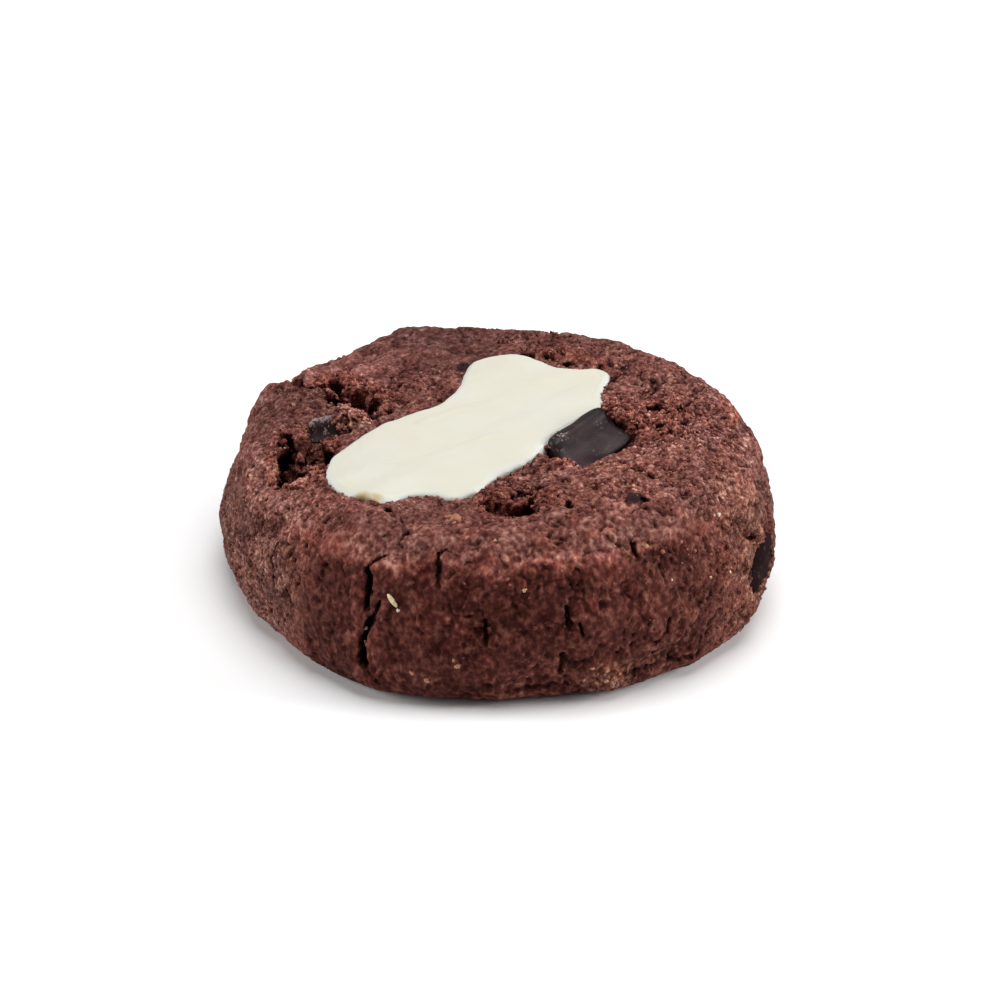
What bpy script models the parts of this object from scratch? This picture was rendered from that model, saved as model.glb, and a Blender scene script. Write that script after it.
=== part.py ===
"""Thick chocolate cookie with a set pool of white chocolate and three dark chocolate chunks.

The dough is one solid: a turned blank with an uneven outline, hollows, broken pits and cracks.
The pool and the chunks are solids of their own, each seated in a pocket of the dough.
Metres, +Z up. The cookie lies on z = 0 and its front is towards -Y.
"""

import math

import bmesh
import bpy
from mathutils import Euler, Matrix, Vector, noise

MM = 0.001

# Driving sizes of the dough
RADIUS = 34.0 * MM  # mean radius of the wall
HEIGHT = 21.7 * MM  # at the middle, before the tilt
SHOULDER = 7.1 * MM  # rounding of the top edge
FOOT = 4.2 * MM  # rounding of the bottom edge
BASE_BAND = 0.15 * MM  # points lower than this are set flat on the base
WALL_BULGE = 0.8 * MM  # swelling of the wall at mid height
WALL_LEAN = 1.2 * MM  # how much smaller the top's radius is than the bottom's
TILT_RIGHT = 1.8 * MM  # rise of the top at the right rim
TILT_BACK = 0.45 * MM  # rise of the top at the back rim

# The outline seen from above: number of lobes, height of a lobe, direction of a lobe in degrees
PLAN_LOBES = (
    (2, 1.5 * MM, 319),
    (3, 0.5 * MM, 10),
    (4, 0.3 * MM, 334),
)

# Hills and hollows of the top in mm: x, y, spread, rise
TOP_FORMS = (
    (-13, -25, 5.0, 0.7),
    (-25, 9, 4.5, 0.6),
    (-30, -3, 3.5, 0.5),
    (-23, -6, 5.5, -1.2),
    (-3, 18, 3.0, -0.8),
    (-12, 14, 5.0, 0.4),
    (3, -27, 6.0, 0.8),
    (3, -20, 3.5, -0.7),
    (10, -16, 5.0, 0.7),
    (22, -14, 7.0, 0.5),
    (19, -4.5, 2.8, -1.0),
    (24, 8, 7.0, 0.2),
    (12, -10, 3.2, -0.9),
    (12, 22, 6.0, -0.3),
    (-18, 8, 5.0, -0.9),
)

# Swellings and dents of the wall in degrees and mm: direction, height, spread, rise
WALL_FORMS = (
    (5, 18.0, 4.0, 0.4),
    (14, 20.5, 5.0, -0.3),
    (38, 21.0, 7.0, -0.35),
    (84, 21.0, 6.0, -0.3),
    (108, 20.5, 3.0, 0.3),
    (118, 20.5, 2.5, 0.9),
    (128, 20.0, 4.5, -0.6),
    (137, 20.5, 2.0, -0.4),
    (146, 20.5, 1.5, -1.3),
    (154, 19.0, 2.2, 0.6),
    (160, 14.0, 6.0, -0.2),
    (166, 18.0, 4.0, -0.9),
    (195, 14.0, 6.0, -0.5),
    (203, 7.0, 6.0, 0.3),
    (212, 2.0, 7.0, -0.6),
    (246, 12.0, 2.5, 0.3),
    (262, 13.0, 7.0, -0.4),
    (278, 2.0, 6.0, -0.9),
    (288, 15.0, 5.0, 0.4),
    (302, 2.0, 6.0, -0.7),
    (330, 16.0, 6.0, 0.4),
    (342, 10.0, 5.5, 0.7),
    (352, 1.5, 4.0, -1.5),
    (358, 18.0, 4.0, -0.3),
    (60, 10.0, 9.0, 0.4),
    (90, 14.0, 8.0, -0.3),
)

# Unevenness of the crust: size of a lump and its rise
CRUST_LUMPS = ((6.0 * MM, 0.4 * MM), (2.2 * MM, 0.4 * MM))

# Broken pits in mm and degrees: x, y, depth of the middle, half length, half width, half depth, turn
PITS = (
    (-25.8, -4.5, 1.8, 6.4, 1.3, 4.2, 84),
    (-23.2, -10.4, 1.4, 2.8, 2.0, 2.8, 15),
    (-20.6, -3.6, 2.2, 2.2, 1.5, 2.6, 60),
    (-22.6, -6.0, 0.2, 4.6, 3.0, 1.6, 80),
    (-19.6, 12.4, 1.0, 1.9, 1.4, 2.8, 120),
    (-16.8, 6.8, 1.2, 3.4, 1.7, 3.0, 150),
    (-18.6, 9.4, 0.1, 3.4, 2.4, 1.4, 120),
    (0.6, -21.0, 0.8, 2.2, 1.7, 2.4, 20),
    (3.2, -22.6, 1.2, 2.5, 2.3, 3.4, 20),
    (3.0, -18.8, 0.1, 3.0, 1.3, 1.3, 10),
    (9.2, -22.6, 0.2, 1.1, 0.8, 1.2, 0),
    (6.8, -25.2, 0.2, 1.3, 0.6, 1.0, 10),
    (-21.6, 0.4, 1.0, 2.4, 1.7, 2.2, 20),
    (8.4, -8.2, 0.6, 1.5, 0.8, 1.4, 130),
)
PIT_LUMP = 1.6 * MM
PIT_ROUGHNESS = 0.45 * MM

# Cracks of the wall: waypoints as (direction in degrees, height in mm), then the width and the depth
CRACKS = (
    (((247.3, 20.9), (245.2, 19.7), (243.4, 17.9)), 0.8 * MM, 1.5 * MM),
    (((243.4, 18.0), (243.9, 15.8), (243.9, 13.4), (244.2, 11.9)), 1.2 * MM, 3.0 * MM),
    (((245.4, 12.8), (244.4, 11.0), (243.2, 8.4), (243.2, 6.4), (244.0, 4.2)), 1.5 * MM, 3.2 * MM),
    (((257.6, 19.6), (257.8, 18.2), (258.4, 16.3)), 1.1 * MM, 2.4 * MM),
    (((267.5, 11.0), (267.3, 9.0)), 0.6 * MM, 1.5 * MM),
    (((284.6, 13.6), (284.2, 11.6)), 0.7 * MM, 1.6 * MM),
    (((288.0, 11.4), (288.6, 9.8)), 0.6 * MM, 1.4 * MM),
    (((283.6, 7.0), (283.4, 5.2)), 0.7 * MM, 1.6 * MM),
    (((296.0, 20.6), (297.2, 19.4)), 0.7 * MM, 1.6 * MM),
    (((329.5, 16.1), (332.0, 14.6), (334.5, 13.4)), 0.7 * MM, 1.5 * MM),
    (((335.0, 14.0), (339.0, 12.9), (343.5, 11.2)), 0.8 * MM, 2.0 * MM),
    (((297.0, 4.2), (303.0, 4.0), (309.0, 4.6), (314.0, 3.8)), 0.8 * MM, 1.1 * MM),
)

# Set pool of white chocolate: its outline from above in mm
POOL_OUTLINE = (
    (3.0, 19.8), (0.2, 19.6), (-2.2, 17.6), (-3.6, 13.8), (-4.4, 9.2), (-7.2, 5.2),
    (-11.4, 2.8), (-15.8, -0.6), (-18.6, -4.0), (-20.4, -8.4), (-20.3, -12.6), (-18.0, -16.6),
    (-14.6, -17.8), (-12.9, -19.3), (-10.4, -17.9), (-7.4, -17.8), (-4.6, -19.0), (-2.2, -17.6),
    (0.0, -14.0), (4.4, -9.9), (6.6, -5.2), (9.2, -1.5), (13.6, 3.2), (13.1, 6.8),
    (14.6, 11.2), (13.8, 14.2), (10.2, 13.9), (7.2, 15.4), (5.4, 18.2),
)
POOL_THICKNESS = 2.6 * MM
POOL_PROUD = 0.3 * MM
POOL_EDGE = 0.5 * MM
POOL_FLOW = 42  # direction of its long low ridges, in degrees
POOL_RIDGES = ((-3.0, 1.5, 0.25), (0.6, 1.2, -0.15), (2.6, 1.6, 0.2))  # mm across: middle, spread, rise

# Dark chunks in mm and degrees: size, middle, turns, rounding, and the way its pocket opens
CHUNKS = {
    "dark_chunk_top": ((9.4, 6.8, 5.0), (11.8, -3.5, 19.95), (29, -5, 41), 0.9, (1.6, -2.5, 5.1)),
    "dark_chunk_left": ((5.4, 3.6, 4.0), (-21.3, 4.9, 18.1), (60, 0, 16), 0.9, (0.4, -2.6, 2.2)),
    "dark_chunk_side": ((7.2, 7.2, 5.0), (31.3, -12.9, 9.8), (90, 8, 67.5), 2.0, (2.8, -1.1, 0)),
}
CHUNK_DISH = 0.6 * MM
CHUNK_LUMP = 3.5 * MM
CHUNK_ROUGHNESS = 0.25 * MM

# Small chips that belong to the dough's solid, in mm: x, y, half length, half width, turn
SMALL_CHIPS = ((16.6, -21.2, 1.1, 0.8, 150), (16.2, 13.6, 1.0, 0.7, 20), (-4.2, 17.0, 1.2, 0.8, 60))
CHIP_HALF = 0.6  # mm, half of its thickness
CHIP_RISE = 0.3  # mm

GAP = 0.3 * MM  # between a set piece and the dough
HEADROOM = 6.0 * MM  # how far the cutter of the pool's pocket stands out of the dough

# Spacing of the points while shaping, and triangles kept at the end
BLANK_STEP = 0.75 * MM
FINE_STEP = 0.35 * MM
POOL_STEP = 0.5 * MM
CRACK_STEP = 0.2 * MM
CRACK_BEAD = 0.5 * MM
POCKET_STEP = 0.8 * MM
DOUGH_TRIANGLES = 8800
POOL_TRIANGLES = 1100
POCKET_TRIANGLES = 700
CRACK_TRIANGLES = 2400
CHUNK_TRIANGLES = 420

DOUGH_COLOUR = (0.105, 0.036, 0.028, 1)
WHITE_COLOUR = (0.80, 0.74, 0.58, 1)
DARK_COLOUR = (0.030, 0.018, 0.017, 1)


# Scene helpers


def clear_scene():
    for obj in list(bpy.data.objects):
        bpy.data.objects.remove(obj, do_unlink=True)


def new_collection(name):
    made = bpy.data.collections.new(name)
    bpy.context.scene.collection.children.link(made)
    return made


def new_material(name, colour, roughness):
    material = bpy.data.materials.new(name)
    material.use_nodes = True
    shader = material.node_tree.nodes["Principled BSDF"]
    shader.inputs["Base Color"].default_value = colour
    shader.inputs["Roughness"].default_value = roughness
    return material


def dough_material():
    return new_material("dough", DOUGH_COLOUR, 0.9)


def white_material():
    return new_material("white_chocolate", WHITE_COLOUR, 0.4)


def dark_material(name):
    return new_material(name, DARK_COLOUR, 0.35)


def add_object(name, shape, group):
    """An object of this bmesh."""
    mesh = bpy.data.meshes.new(name)
    shape.to_mesh(mesh)
    shape.free()
    obj = bpy.data.objects.new(name, mesh)
    group.objects.link(obj)
    return obj


def add_helper(obj):
    obj.hide_render = True
    obj.display_type = "WIRE"
    return obj


def apply_modifiers(obj):
    """Replaces the object's data with the mesh its modifiers make, in world space."""
    bpy.context.view_layer.update()
    graph = bpy.context.evaluated_depsgraph_get()
    mesh = bpy.data.meshes.new_from_object(obj.evaluated_get(graph), depsgraph=graph)
    mesh.transform(obj.matrix_world)
    obj.modifiers.clear()
    obj.matrix_world = Matrix.Identity(4)
    obj.data = mesh


def remesh(obj, step):
    modifier = obj.modifiers.new("remesh", "REMESH")
    modifier.mode = "VOXEL"
    modifier.voxel_size = step
    apply_modifiers(obj)


def decimate(obj, triangles):
    obj.data.calc_loop_triangles()
    modifier = obj.modifiers.new("decimate", "DECIMATE")
    modifier.ratio = min(1.0, triangles / len(obj.data.loop_triangles))
    modifier.use_collapse_triangulate = True
    apply_modifiers(obj)


def cut(obj, cutter, solver="EXACT"):
    modifier = obj.modifiers.new("cut", "BOOLEAN")
    modifier.object = cutter
    modifier.operation = "DIFFERENCE"
    modifier.solver = solver
    apply_modifiers(obj)


def fuse(obj, group):
    """Joins the collection's objects to this one, and removes them."""
    modifier = obj.modifiers.new("fuse", "BOOLEAN")
    modifier.operand_type = "COLLECTION"
    modifier.collection = group
    modifier.operation = "UNION"
    modifier.solver = "EXACT"
    apply_modifiers(obj)
    for joined in list(group.objects):
        bpy.data.objects.remove(joined, do_unlink=True)
    bpy.data.collections.remove(group)


def keep_largest_body(obj):
    """Drops the loose scraps that the Booleans leave."""
    shape = bmesh.new()
    shape.from_mesh(obj.data)
    waiting = set(shape.verts)
    bodies = []
    while waiting:
        body = set()
        edge_of_body = [waiting.pop()]
        while edge_of_body:
            point = edge_of_body.pop()
            body.add(point)
            near = {edge.other_vert(point) for edge in point.link_edges} & waiting
            waiting -= near
            edge_of_body.extend(near)
        bodies.append(body)
    largest = max(bodies, key=len)
    scraps = [point for point in shape.verts if point not in largest]
    bmesh.ops.delete(shape, geom=scraps, context="VERTS")
    shape.to_mesh(obj.data)
    shape.free()


def curve_to_mesh(guide, group):
    """A welded mesh object in place of the curve."""
    bpy.context.view_layer.update()
    graph = bpy.context.evaluated_depsgraph_get()
    mesh = bpy.data.meshes.new_from_object(guide.evaluated_get(graph), depsgraph=graph)
    shape = bmesh.new()
    shape.from_mesh(mesh)
    bmesh.ops.remove_doubles(shape, verts=shape.verts, dist=1e-6)
    name = guide.name
    place = guide.matrix_world.copy()
    bpy.data.objects.remove(guide, do_unlink=True)
    obj = add_object(name, shape, group)
    obj.matrix_world = place
    return obj


def roughen(obj, lump, rise):
    """Moves each point along its normal by a smooth noise of its place."""
    normals = [vertex.normal.copy() for vertex in obj.data.vertices]
    for vertex, normal in zip(obj.data.vertices, normals):
        vertex.co += rise * noise.noise(vertex.co / lump) * normal


# The form of the dough


def gauss(distance, spread):
    return math.exp(-0.5 * (distance / spread) ** 2)


def smooth_step(value, low, high):
    t = min(1.0, max(0.0, (value - low) / (high - low)))
    return t * t * (3 - 2 * t)


def half_profile():
    """(radius, height) from the middle of the top, down the outside, to the middle of the bottom."""
    top_radius = RADIUS - WALL_LEAN / 2
    foot_radius = RADIUS + WALL_LEAN / 2
    points = [(0.0, HEIGHT)]
    for i in range(13):
        turn = math.radians(90 - 90 * i / 12)
        points.append(
            (
                top_radius - SHOULDER + SHOULDER * math.cos(turn),
                HEIGHT - SHOULDER + SHOULDER * math.sin(turn),
            )
        )
    for i in range(1, 8):
        t = 1 - i / 8
        points.append(
            (
                RADIUS - WALL_LEAN * (t - 0.5) + WALL_BULGE * 4 * t * (1 - t),
                FOOT + (HEIGHT - SHOULDER - FOOT) * t,
            )
        )
    for i in range(9):
        turn = math.radians(-90 * i / 8)
        points.append(
            (
                foot_radius - FOOT + FOOT * math.cos(turn),
                FOOT + FOOT * math.sin(turn),
            )
        )
    points.append((0.0, 0.0))
    return points


def plan_offset(angle):
    """How far the outline lies outside the mean radius in this direction."""
    return sum(
        height * math.cos(lobes * (angle - math.radians(direction)))
        for lobes, height, direction in PLAN_LOBES
    )


def top_height(x, y):
    """Height of the top at this place."""
    rise = HEIGHT + (TILT_RIGHT * x + TILT_BACK * y) / RADIUS
    for form_x, form_y, spread, height in TOP_FORMS:
        distance = math.hypot(x - form_x * MM, y - form_y * MM)
        rise += height * MM * gauss(distance, spread * MM)
    return rise


def wall_rise(angle, z):
    """How far the wall stands out of its turned form here."""
    rise = 0.0
    for direction, height, spread, out in WALL_FORMS:
        turn = math.remainder(angle - math.radians(direction), 2 * math.pi)
        distance = math.hypot(turn * RADIUS, z - height * MM)
        rise += out * MM * gauss(distance, spread * MM)
    return rise


def shape_point(point, normal):
    """Where a point of the turned blank lies on the dough."""
    angle = math.atan2(point.y, point.x)
    stretch = 1 + plan_offset(angle) / RADIUS
    x = point.x * stretch
    y = point.y * stretch
    z = point.z
    lifted = z + smooth_step(z, 0, HEIGHT) * (top_height(x, y) - HEIGHT)
    out = wall_rise(angle, z) * smooth_step(math.hypot(point.x, point.y), RADIUS / 2, RADIUS * 0.9)
    for lump, rise in CRUST_LUMPS:
        out += rise * noise.noise(Vector((x, y, z)) / lump)
    out *= smooth_step(z, 0.1 * MM, 2.5 * MM)
    shaped = Vector((x, y, lifted)) + out * normal
    shaped.z = max(0.0, shaped.z)
    return shaped


def profile_radius(z):
    """Radius of the turned blank's outside at this height."""
    outside = half_profile()[1:-1]
    for (upper_radius, upper), (lower_radius, lower) in zip(outside, outside[1:]):
        if lower <= z <= upper:
            t = (z - lower) / (upper - lower)
            return lower_radius + (upper_radius - lower_radius) * t
    return outside[0][0]


def wall_point(direction, z):
    """A place on the outside of the dough, and the direction straight out of it."""
    angle = math.radians(direction)
    out = Vector((math.cos(angle), math.sin(angle), 0))
    radius = profile_radius(z) + plan_offset(angle) + wall_rise(angle, z)
    return out * radius + Vector((0, 0, z)), out


def make_blank(group):
    """The dough turned from its half profile."""
    shape = bmesh.new()
    points = [shape.verts.new((radius, 0, height)) for radius, height in half_profile()]
    for upper, lower in zip(points, points[1:]):
        shape.edges.new((upper, lower))
    obj = add_object("cookie", shape, group)
    screw = obj.modifiers.new("turn", "SCREW")
    screw.steps = 96
    screw.render_steps = 96
    screw.use_merge_vertices = True
    screw.merge_threshold = 1e-5
    remesh(obj, BLANK_STEP)
    return obj


def shape_dough(obj):
    normals = [vertex.normal.copy() for vertex in obj.data.vertices]
    for vertex, normal in zip(obj.data.vertices, normals):
        vertex.co = shape_point(vertex.co, normal)


# Cutters of the dough


def ellipsoids(name, matrices, group):
    shape = bmesh.new()
    for matrix in matrices:
        bmesh.ops.create_icosphere(shape, subdivisions=2, radius=1, matrix=matrix)
    return add_object(name, shape, group)


def pit_matrix(x, y, depth, length, width, height, turn):
    place = Vector((x * MM, y * MM, top_height(x * MM, y * MM) - depth * MM))
    return (
        Matrix.Translation(place)
        @ Matrix.Rotation(math.radians(turn), 4, "Z")
        @ Matrix.Diagonal((length * MM, width * MM, height * MM, 1))
    )


def pit_cutter(group):
    obj = add_helper(ellipsoids("pit_cutter", [pit_matrix(*pit) for pit in PITS], group))
    remesh(obj, FINE_STEP)
    roughen(obj, PIT_LUMP, 2 * PIT_ROUGHNESS)
    return obj


def crack_length(start, end):
    return math.hypot(math.radians(end[0] - start[0]) * RADIUS, (end[1] - start[1]) * MM)


def crack_matrices(waypoints, width, depth):
    """Slim ellipsoids strung along the crack, thinner and shallower towards its ends."""
    matrices = []
    runs = list(zip(waypoints, waypoints[1:]))
    whole = sum(crack_length(*run) for run in runs)
    gone = 0.0
    for start, end in runs:
        length = crack_length(start, end)
        steps = max(2, round(length / CRACK_BEAD))
        for i in range(steps):
            t = i / steps
            turn = start[0] + (end[0] - start[0]) * t
            z = start[1] + (end[1] - start[1]) * t
            full = math.sin(math.pi * (gone + length * t) / whole)
            thick = width * (0.45 + 0.55 * full) * (1 + 0.5 * noise.noise(Vector((turn, z, 5))))
            deep = depth * (0.4 + 0.6 * full)
            place, out = wall_point(turn, z * MM)
            matrices.append(
                Matrix.Translation(place)
                @ out.to_track_quat("X", "Z").to_matrix().to_4x4()
                @ Matrix.Diagonal((deep, thick / 2, 1.6 * CRACK_BEAD, 1))
            )
        gone += length
    return matrices


def crack_cutter(group):
    matrices = []
    for waypoints, width, depth in CRACKS:
        matrices.extend(crack_matrices(waypoints, width, depth))
    obj = add_helper(ellipsoids("crack_cutter", matrices, group))
    remesh(obj, CRACK_STEP)
    decimate(obj, CRACK_TRIANGLES)
    return obj


def small_chips():
    """Chips that stand a little out of the top, in a collection of their own."""
    group = new_collection("small_chips")
    for x, y, length, width, turn in SMALL_CHIPS:
        matrix = pit_matrix(x, y, CHIP_HALF - CHIP_RISE, length, width, CHIP_HALF, turn)
        ellipsoids("small_chip", [matrix], group)
    return group


# The set pieces, each made at its own size, or grown as the cutter of its pocket


def pool_body(name, grow, headroom, triangles, group):
    """The pool, flat on a spline outline at first, then bent to the top of the dough."""
    curve = bpy.data.curves.new(name, "CURVE")
    curve.dimensions = "2D"
    curve.fill_mode = "BOTH"
    curve.resolution_u = 4
    spline = curve.splines.new("BEZIER")
    spline.bezier_points.add(len(POOL_OUTLINE) - 1)
    for point, (x, y) in zip(spline.bezier_points, POOL_OUTLINE):
        point.co = (x * MM, y * MM, 0)
        point.handle_left_type = "AUTO"
        point.handle_right_type = "AUTO"
    spline.use_cyclic_u = True
    curve.bevel_depth = POOL_EDGE
    curve.bevel_resolution = 2
    curve.offset = grow - POOL_EDGE
    curve.extrude = (POOL_THICKNESS + grow + headroom) / 2 - POOL_EDGE
    obj = bpy.data.objects.new(name, curve)
    group.objects.link(obj)
    obj = curve_to_mesh(obj, group)
    remesh(obj, POOL_STEP)
    lift = (headroom - POOL_THICKNESS - grow) / 2
    for vertex in obj.data.vertices:
        vertex.co.z += lift + pool_height(vertex.co.x, vertex.co.y)
    decimate(obj, triangles)
    return obj


def pool_height(x, y):
    """Height of the pool's face: the top of the dough there, smoothed, with long low ridges on it."""
    turn = math.radians(POOL_FLOW)
    across = y * math.cos(turn) - x * math.sin(turn)
    rise = top_height(x, y) + POOL_PROUD
    for middle, spread, height in POOL_RIDGES:
        rise += height * MM * gauss(across - middle * MM, spread * MM)
    return rise


def chunk_matrix(place, turns):
    turn = Euler([math.radians(angle) for angle in turns])
    return Matrix.Translation(Vector(place) * MM) @ turn.to_matrix().to_4x4()


def chunk_body(name, key, grow, group):
    """A rounded, tapered and dished block. Its own +Z faces out of the dough."""
    size, place, turns, rounding, _ = CHUNKS[key]
    half = [side * MM / 2 + grow for side in size]
    shape = bmesh.new()
    bmesh.ops.create_cube(shape, size=2, matrix=Matrix.Diagonal(half + [1]))
    obj = add_object(name, shape, group)
    bevel = obj.modifiers.new("bevel", "BEVEL")
    bevel.width = rounding * MM + grow
    bevel.segments = 3
    remesh(obj, FINE_STEP)
    for vertex in obj.data.vertices:
        above = smooth_step(vertex.co.z, 0, half[2])
        vertex.co.z -= CHUNK_DISH * above * (1 - min(1.0, abs(vertex.co.y / half[1])) ** 2)
        vertex.co.x *= 1 - 0.12 * vertex.co.y / half[1]
        vertex.co.y *= 1 - 0.10 * vertex.co.z / half[2]
    roughen(obj, CHUNK_LUMP, 2 * CHUNK_ROUGHNESS)
    obj.data.transform(chunk_matrix(place, turns))
    return obj


def chunk_pocket(key, group):
    """The grown chunk swept along the way its pocket opens."""
    obj = add_helper(chunk_body(key + "_pocket", key, GAP, group))
    way_out = Vector(CHUNKS[key][4]) * MM
    steps = math.ceil(way_out.length / POCKET_STEP)
    shape = bmesh.new()
    for _ in range(steps + 1):
        shape.from_mesh(obj.data)
        obj.data.transform(Matrix.Translation(way_out / steps))
    shape.to_mesh(obj.data)
    shape.free()
    remesh(obj, FINE_STEP)
    decimate(obj, CHUNK_TRIANGLES)
    return obj


# Assembly


def make_dough(nodes, cutters):
    dough = make_blank(nodes)
    shape_dough(dough)
    fuse(dough, small_chips())
    cut(dough, pit_cutter(cutters), "MANIFOLD")
    cut(dough, crack_cutter(cutters), "MANIFOLD")
    remesh(dough, FINE_STEP)
    decimate(dough, DOUGH_TRIANGLES)
    for vertex in dough.data.vertices:
        if vertex.co.z < BASE_BAND:
            vertex.co.z = 0.0
    return dough


def seat_pool(dough, nodes, cutters):
    pocket = add_helper(pool_body("pool_pocket", GAP, HEADROOM, POCKET_TRIANGLES, cutters))
    cut(dough, pocket)
    return pool_body("white_chocolate", 0.0, 0.0, POOL_TRIANGLES, nodes)


def seat_chunk(key, dough, pool, nodes, cutters):
    pocket = chunk_pocket(key, cutters)
    cut(dough, pocket)
    if key == "dark_chunk_top":
        cut(pool, pocket)
    chunk = chunk_body(key, key, 0.0, nodes)
    decimate(chunk, CHUNK_TRIANGLES)
    return chunk


def recentre(objects):
    """Puts the middle of the whole at x = y = 0 and its bottom on z = 0."""
    points = [vertex.co for obj in objects for vertex in obj.data.vertices]
    low = [min(point[i] for point in points) for i in range(3)]
    high = [max(point[i] for point in points) for i in range(3)]
    shift = Vector((-(low[0] + high[0]) / 2, -(low[1] + high[1]) / 2, -low[2]))
    for obj in objects:
        obj.data.transform(Matrix.Translation(shift))
    print("shift in mm:", [round(value / MM, 3) for value in shift])


def main():
    clear_scene()
    nodes = new_collection("chocolate_cookie")
    cutters = new_collection("cutters")
    dough = make_dough(nodes, cutters)
    pool = seat_pool(dough, nodes, cutters)
    chunks = [seat_chunk(key, dough, pool, nodes, cutters) for key in CHUNKS]
    pieces = [dough, pool] + chunks
    for piece in pieces:
        keep_largest_body(piece)
    recentre(pieces)
    materials = [dough_material(), white_material()] + [dark_material(key) for key in CHUNKS]
    for piece, material in zip(pieces, materials):
        piece.data.materials.clear()
        piece.data.materials.append(material)
        piece.data.shade_smooth()


main()
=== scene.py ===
"""Chocolate cookie: crumbly dark dough with a set pool of white chocolate and dark chocolate chunks.

Metres, +Z up. The cookie lies on z = 0 and its front is towards -Y. The tables below are in mm
and degrees. An ellipse in them is x, y, half length, half width and turn, seen from above.
"""

import math

import bmesh
import bpy
import numpy as np
from mathutils import Euler, Matrix, Vector, kdtree, noise
from mathutils.bvhtree import BVHTree


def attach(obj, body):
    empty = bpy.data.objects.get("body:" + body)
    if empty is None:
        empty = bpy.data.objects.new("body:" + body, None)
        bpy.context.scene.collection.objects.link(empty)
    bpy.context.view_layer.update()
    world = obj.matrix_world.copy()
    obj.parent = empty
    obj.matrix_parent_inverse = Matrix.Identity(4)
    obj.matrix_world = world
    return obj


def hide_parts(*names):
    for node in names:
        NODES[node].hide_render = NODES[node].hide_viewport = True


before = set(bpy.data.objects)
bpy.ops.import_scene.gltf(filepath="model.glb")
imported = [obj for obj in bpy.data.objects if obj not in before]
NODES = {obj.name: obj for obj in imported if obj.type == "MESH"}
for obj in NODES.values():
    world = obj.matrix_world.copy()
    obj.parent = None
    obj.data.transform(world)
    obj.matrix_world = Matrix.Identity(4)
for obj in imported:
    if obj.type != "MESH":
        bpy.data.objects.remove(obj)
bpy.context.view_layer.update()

MM = 0.001

# Camera: it looks at AIM from this elevation and distance
AIM = Vector((0.531, -0.112, 10.85)) * MM
ELEVATION = math.radians(28.328)
DISTANCE = 450 * MM
LENS = 127.7
SENSOR = 36

# Lights: name, place, size, power; then the strength of the light from all round
LIGHTS = (
    ("top", (100, 10, 900), 760, 6.9), ("left", (-800, 20, 250), 450, 5.0),
    ("right", (800, 0, 280), 450, 6.8), ("back", (0, 850, 420), 500, 0.5),
)
WORLD_LIGHT = 0.12
FLOOR_SIZE = 3

# Seeds of what is drawn at random
HEAP_SEED = 11
GRAIN_SEED = 23
FLECK_SEED = 31
RAY_SEED = 7

# Dough: spacing of its points while its facets are smoothed and while the crumb is shaped
SMOOTH_STEP = 0.32 * MM
CRUMB_STEP = 0.2 * MM
DOUGH_TRIANGLES = 195000
WELD_DISTANCE = 1e-6
# Smoothing takes away what lies less than FACET_RISE from the smoothed form,
# and keeps what lies more than FORM_RISE from it
SMOOTH_ROUNDS = 12
FACET_RISE = 0.10 * MM
FORM_RISE = 0.26 * MM

# What closes the pockets of the set pieces: way it sinks, growth
FILLS = (
    ("white_chocolate", (0, 0, -1.1), 0.5), ("dark_chunk_top", (0.75, 0.95, -1.25), 0.7),
    ("dark_chunk_left", (-0.24, 0.83, -0.5), 0.9), ("dark_chunk_side", (-1.39, 0.57, 0), 1.3),
)

# Lips of dough that close what is left of the pockets: middle, half sizes, turn
LIPS = (
    ((15.6, 0.6, 22.1), (3, 1.5, 1.5), -50), ((31.6, -8.6, 10.4), (1.2, 1.2, 3), 0),
    ((31.6, -14.2, 13.6), (1.3, 2.2, 1.2), 65), ((-24.6, 17.2, 19.6), (1.2, 1.3, 1.5), 0),
)

# Heaps of broken crumb on the top: ellipse, number, smallest and largest crumb, lift
HEAPS = (
    (-17.8, 5, 2.8, 1.6, 20, 190, 0.3, 0.7, 1), (-21.6, -4, 4.2, 1.5, 80, 190, 0.3, 0.75, 0.35),
    (-24.6, -2.2, 2.8, 1, 75, 120, 0.3, 0.7, 1.5), (-26.6, -1.9, 0.7, 0.6, 0, 26, 0.3, 0.6, 1.4),
    (-27.3, -4, 5, 0.9, 84, 100, 0.28, 0.6, 0.1), (-24, -9.8, 2.4, 1.6, 20, 90, 0.3, 0.7, 0.2),
    (-17.5, 9.5, 4.4, 3, 140, 220, 0.3, 0.75, 0.15), (-20.8, 14, 2.6, 2.2, 0, 90, 0.3, 0.7, 0.1),
    (2.2, -20.6, 4.4, 3.6, 0, 150, 0.3, 0.7, 0.12), (-1, -19, 1.2, 1.6, 30, 40, 0.3, 0.7, 0.45),
    (5.6, -20.4, 1.2, 1.8, 0, 40, 0.3, 0.7, 0.35), (15.8, -0.3, 2.9, 1.1, -48, 130, 0.28, 0.6, 0.35),
    (8.4, -11.6, 1.6, 0.5, 10, 22, 0.28, 0.5, 0.35), (20.5, -0.5, 3.8, 4, 0, 120, 0.28, 0.6, 0.05),
    (29.4, 2.5, 4.8, 0.8, 90, 50, 0.28, 0.5, 0), (10.4, 17.4, 5, 0.8, -30, 70, 0.28, 0.55, 0.2),
)
HEAP_LIFTS = (-0.5, 1)  # range of a crumb's height, in shares of the lift
# Heaps on the wall: place, spread, number, smallest and largest crumb, lift
WALL_HEAPS = ((13.2, -31.1, 3.3, 1.4, 70, 0.28, 0.55, 0.1), (33.2, -8.6, 12, 1, 16, 0.25, 0.45, 0.1))
WALL_HEAP_LIFTS = (-0.3, 1)
HEAP_SPREAD = 0.6
CRUMB_LUMPS = 0.22
CRUMB_STRETCH = (0.65, 1.15)
RAY_TOP = 0.05  # height from which rays are sent down

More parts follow.
